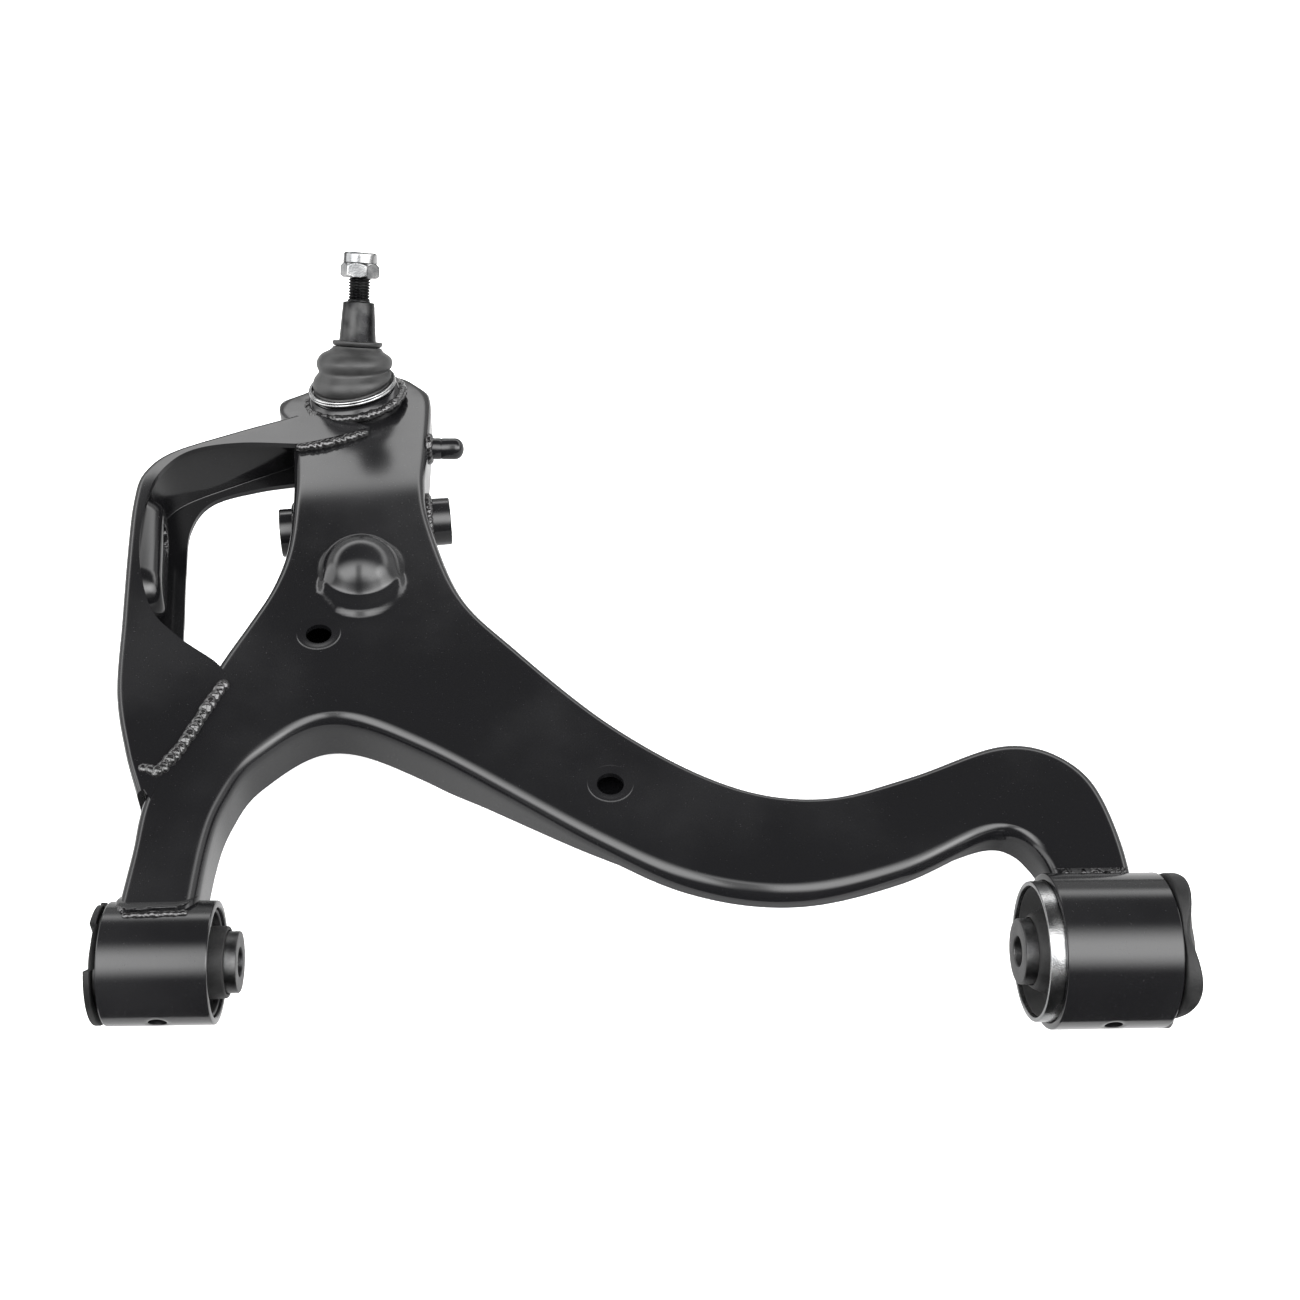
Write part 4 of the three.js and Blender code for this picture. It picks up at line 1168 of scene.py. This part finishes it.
def boot(sides=128):
    """A closed [radius, share of height] profile, turned along a cubic curve.

    The curve leaves the housing along its axis and meets the collar along the stud's. Each
    ring turns about the hinge between the two axes by a growing share of the lean.
    """
    skin = smooth(np.array(BOOT) * [1, BOOT_SPREAD], 90) / [1, BOOT_SPREAD]
    profile = np.vstack([skin, skin[::-1] - [BOOT_WALL, 0], skin[:1]])
    angle = whole_turn(sides)
    foot = BALL + HOUSING_AXIS * (CLIP_LOW - 0.7)
    top = BALL + STUD_AXIS * (COLLAR_AT - COLLAR_HEIGHT - 0.3)
    reach = np.linalg.norm(top - foot)
    height = np.clip(profile[:, 1], 0, 1)
    leaving, arriving = foot + HOUSING_AXIS * reach * 0.45, top - STUD_AXIS * reach / 3
    t = height[:, None]
    centre = (
        (1 - t) ** 3 * foot + 3 * (1 - t) ** 2 * t * leaving
        + 3 * (1 - t) * t**2 * arriving + t**3 * top
    )
    share = eased((height - 0.08) / 0.5)
    lean = math.acos(HOUSING_AXIS @ STUD_AXIS)
    hinge = unit(np.cross(HOUSING_AXIS, STUD_AXIS))
    side = turn_to(HOUSING_AXIS) @ np.stack([np.cos(angle), np.sin(angle), 0 * angle])
    along_hinge = hinge[:, None] * (hinge @ side)
    across = np.cross(hinge, side.T).T
    turn = (share * lean)[:, None, None]
    ring = np.cos(turn) * (side - along_hinge) + np.sin(turn) * across + along_hinge
    points = centre[:, None, :] + profile[:, :1, None] * np.moveaxis(ring, 1, 2)
    return points, quads(*points.shape[:2], wrap=True)


bellows = make("dust_boot_bellows", boot(), "boot_rubber", ["dust_boot"], body=None, crease=60)
tuple((BALL + HOUSING_AXIS * (CLIP_HIGH + 1)) * 0.001)
tuple((BALL + STUD_AXIS * (COLLAR_AT - COLLAR_HEIGHT - 1)) * 0.001)
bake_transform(bellows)

make("boot_clip_band", on_housing([
    [28.6, 9.7], [30.4, 9.7], [30.9, 10.4], [30.9, 11.0], [30.4, 11.6], [30.9, 12.2],
    [30.9, 12.8], [30.4, 13.5], [28.6, 13.5],
], 0.35, sides=128), "zinc_plate", ["boot_clip_ring"], body="boot_clip", crease=60)
collar = rounded([
    [14.5, 37.6], [16.4, 37.6], [17.6, 39.2], [17.6, 41.0], [16.2, 41.4], [14.5, 41.4],
], 0.7)
make("boot_collar_lip", lathe(collar, BALL, STUD_AXIS), "boot_rubber", ["boot_collar"],
     body="boot_top", crease=60)

# %% [markdown]
# ## Weld beads
#
# A bead is a round bar laid along the joint, with ripples where each pass of the torch
# froze. The ripples bend back from the middle of the bead like a row of arrowheads, and
# slow waves make the bead wider and narrower by hand.

# %% Bead
BEAD_STEP, BEAD_SIDES = 0.55, 28
BEAD_SWEEP, BEAD_WAVE = 1.6, 0.07


def bead(line, radius, ripple=0.16, spacing=3.4, seed=0.0, closed=False):
    """Bar along a line: radius * (1 + ripple * arch of (distance - sweep) / spacing + waves)."""
    line = np.asarray(line, float)
    length = np.linalg.norm(np.diff(line, axis=0), axis=1).sum()
    count = int(length / BEAD_STEP)
    path = smooth(line, count)
    tangent = np.gradient(path, axis=0)
    if closed:
        tangent[0] = tangent[-1] = path[1] - path[-2]
    tangent = unit(tangent)
    up_ish = np.array([0, 0, 1.0]) if abs(tangent[:, 2]).max() < 0.9 else np.array([1.0, 0, 0])
    side = unit(np.cross(tangent, up_ish))
    over = np.cross(side, tangent)
    run = np.linspace(0, length, count)[:, None]
    angle = whole_turn(BEAD_SIDES)[None, :]
    phase = ((run - BEAD_SWEEP * np.cos(angle) ** 2) / spacing) % 1
    scale = 1 + ripple * (np.sqrt(np.abs(np.sin(np.pi * phase))) - 0.6)
    waves = (
        np.sin(run * 0.31 + seed) + np.sin(run * 0.73 + 2.1 * seed + angle)
        + 0.6 * np.sin(run * 1.9 + 3 * angle + seed)
    )
    scale = scale + BEAD_WAVE * waves
    if not closed:
        taper = np.minimum(run, length - run) / (1.6 * radius)
        scale = scale * np.sqrt(np.clip(1 - (1 - np.clip(taper, 0, 1)) ** 2, 0, 1))
    size = radius * scale
    points = (
        path[:, None, :]
        + (size * np.cos(angle))[..., None] * side[:, None, :]
        + (size * np.sin(angle))[..., None] * over[:, None, :]
    )
    return points, quads(*points.shape[:2], wrap=True)


def ring_bead(origin, axis, radius, along, thickness, seed=0.0, **more):
    """A bead round an axis, at a radius and a distance along it."""
    turn = np.linspace(0, 2 * np.pi, 41)
    ring = onto_axis(radius, along, turn, origin, axis)
    return bead(ring, thickness, seed=seed, closed=True, **more)


def on_arm(points, lift=0.0):
    """Points on the arm's top plate, raised by lift and leaned with it."""
    flat = np.asarray(points, float)
    return leaned(np.column_stack([flat, top_of(*flat.T) + lift]))


# %% Beads on the arm
SEAM = [[-239, 177.5], [-246, 161], [-254, 139], [-261.5, 121], [-272, 105.5]]
make("bracket_seam_bead", bead(on_arm(SEAM, -0.4), 3.6, 0.3, 5.2, 1.0), "weld_paint",
     ["bracket_seam_weld"])
SEAM_END = [[-281, 113], [-272, 110], [-263, 112]]
make("bracket_seam_end_bead", bead(on_arm(SEAM_END, -0.6), 3.2, 0.3, 4.6, 9.0), "weld_paint")
EAR_LINE = [[-219, 393.5], [-206, 396], [-194, 400.5], [-182, 406.5], [-171, 413]]
make("bracket_ear_bead", bead(on_arm(EAR_LINE, 1.6), 3.1, 0.25, 4.2, 2.0), "weld_paint",
     ["bracket_ear_weld"])


def sleeve_bead(left, right, radius, seed):
    """The bead lies where the top plate meets the sleeve's round outside."""
    x = np.linspace(left, right, 9)
    height = PLATE_TOP - FALL * x
    y = np.sqrt(radius**2 - height**2) - 0.4
    return bead(np.column_stack([x, y, height - 0.4]), 2.3, 0.08, 5.0, seed)


for name, stands_for, shape in (
    ("front_sleeve_bead", "front_sleeve_weld", sleeve_bead(-275, -240, FRONT_R, 3.0)),
    ("rear_sleeve_bead", "rear_sleeve_weld", sleeve_bead(236, 273, REAR_R, 4.0)),
    ("housing_bead", "housing_weld",
     ring_bead(BALL, HOUSING_AXIS, 33.6, 2.0, 3.2, 5.0, ripple=0.12, spacing=6.5)),
    ("tube_bead_front", "tube_weld_front", ring_bead(DAMPER, DAMPER_AXIS, 16.6, -43.5, 3.2, 6.0)),
    ("tube_bead_rear", "tube_weld_rear", ring_bead(DAMPER, DAMPER_AXIS, 16.6, 42.0, 3.2, 7.0)),
    ("side_peg_bead", "side_peg_weld", ring_bead(PEG, X_AXIS, 8.0, -129.5, 2.6, 8.0)),
):
    make(name, shape, "weld_paint", [stands_for])

# %% [markdown]
# ## Floor and light
#
# Gloss paint shows what is round it. The part lies on a pale, slightly glowing floor that
# reflections don't see. They see a lit sheet instead, which begins under the part and runs
# outboard. The surround is bright low down behind the part, dark higher up, and has a wide
# soft box overhead that leans towards the viewer, with a gap in its middle. So flat tops
# stay dark while edges and sleeves catch the light. The plain view transform keeps the
# floor white and the paint black.

# %% Floor
FLOOR_HALF, FLOOR_DROP, TABLE_LIFT = 60.0, 0.0015, 0.0003
TABLE_HALF, TABLE_NEAR, TABLE_FAR = 0.7, -0.058, 1.0


def glowing(dark, light, strength, specular):
    """Returns a build function for a pale, cloudy sheet that gives off light."""
    def build(tree, where):
        cloud = noise(tree, where, 3, 2)
        return {
            "Base Color": blend_colour(tree, cloud, (dark,) * 3, (light,) * 3),
            "Roughness": 0.9,
            "Specular IOR Level": specular,
            "Emission Color": (1, 1, 1, 1),
            "Emission Strength": strength,
        }
    return build


def level_sheet(name, half, near, far, z, finish):
    """A level rectangle, half wide to each side, from near to far in y."""
    corners = [(-half, near, z), (half, near, z), (half, far, z), (-half, far, z)]
    mesh = bpy.data.meshes.new(name)
    mesh.from_pydata(corners, [], [(0, 1, 2, 3)])
    mesh.materials.append(finish)
    thing = bpy.data.objects.new(name, mesh)
    bpy.context.collection.objects.link(thing)
    return thing


floor_z = cad_low.z - FLOOR_DROP
floor = level_sheet("studio_floor", FLOOR_HALF, -FLOOR_HALF, FLOOR_HALF, floor_z,
                    finish_named("pale_floor", glowing(0.93, 0.95, 0.7, 0.1)))
floor.visible_glossy = False

table = level_sheet("light_table", TABLE_HALF, TABLE_NEAR, TABLE_FAR, floor_z + TABLE_LIFT,
                    finish_named("lit_sheet", glowing(0.28, 0.32, 0.5, 0.5)))
table.visible_camera = table.visible_diffuse = False
table.visible_shadow = table.visible_transmission = False

# %% Surround
SKY_LOW, SKY_HIGH = 0.06, 0.15
HORIZON, BAND, SIDES, OVERHEAD, OVERHEAD_GAP = 0.6, 3.6, 0.6, 8.5, 0.7
FRONT_SPOT, FRONT_SPOT_SIZE, FRONT_SPOT_LIGHT = (-0.97, 0.02, 0.12), 0.9, 3
REAR_SPOT, REAR_SPOT_SIZE, REAR_SPOT_LIGHT = (0.85, -0.22, 0.46), 0.93, 5


def spot(x, y, z, towards, size, strength):
    """A soft round light: bright where the direction's dot product with its own is near 1."""
    dot = x * towards[0] + y * towards[1] + z * towards[2]
    return dot.between(size, size + 0.05, 0, strength)


def surround():
    """Brightness as a formula in the direction looked in: x, y and height z."""
    world = bpy.data.worlds.new("studio")
    bpy.context.scene.world = world
    world.use_nodes = True
    tree = world.node_tree
    direction = node(tree, "ShaderNodeTexCoord", output=0)
    parts = node(tree, "ShaderNodeSeparateXYZ", {}, {0: direction})
    x, y, z = (Link(tree, output) for output in parts.socket.node.outputs)
    low = z.between(0.4, 0.64, 1, 0) * z.between(-0.05, 0.05)
    band = z.between(0.3, 0.44) * z.between(0.46, 0.64, 1, 0)
    behind = y.between(-0.1, 0.35)
    horizon = behind * (low * HORIZON + band * BAND)
    sides = low * (x * x).between(0.3, 0.8) * SIDES
    box = y.between(-0.92, -0.56) * y.between(-0.42, 0.14, 1, 0)
    middle = (x + 0.03).absolute().between(0.05, 0.2, 1, 0) * y.between(-0.35, -0.1, 1, 0)
    overhead = z.between(0.3, 0.6) * box * (1 - middle * OVERHEAD_GAP) * OVERHEAD
    total = horizon + sides + overhead
    total = total + spot(x, y, z, FRONT_SPOT, FRONT_SPOT_SIZE, FRONT_SPOT_LIGHT)
    total = total + spot(x, y, z, REAR_SPOT, REAR_SPOT_SIZE, REAR_SPOT_LIGHT)
    total = total + z.between(-0.2, 0.3, SKY_LOW, SKY_HIGH)
    background = tree.nodes["Background"]
    tree.links.new(total.socket, background.inputs["Strength"])
    background.inputs["Color"].default_value = (1, 1, 1, 1)
    bpy.context.scene.view_settings.view_transform = "Standard"


surround()
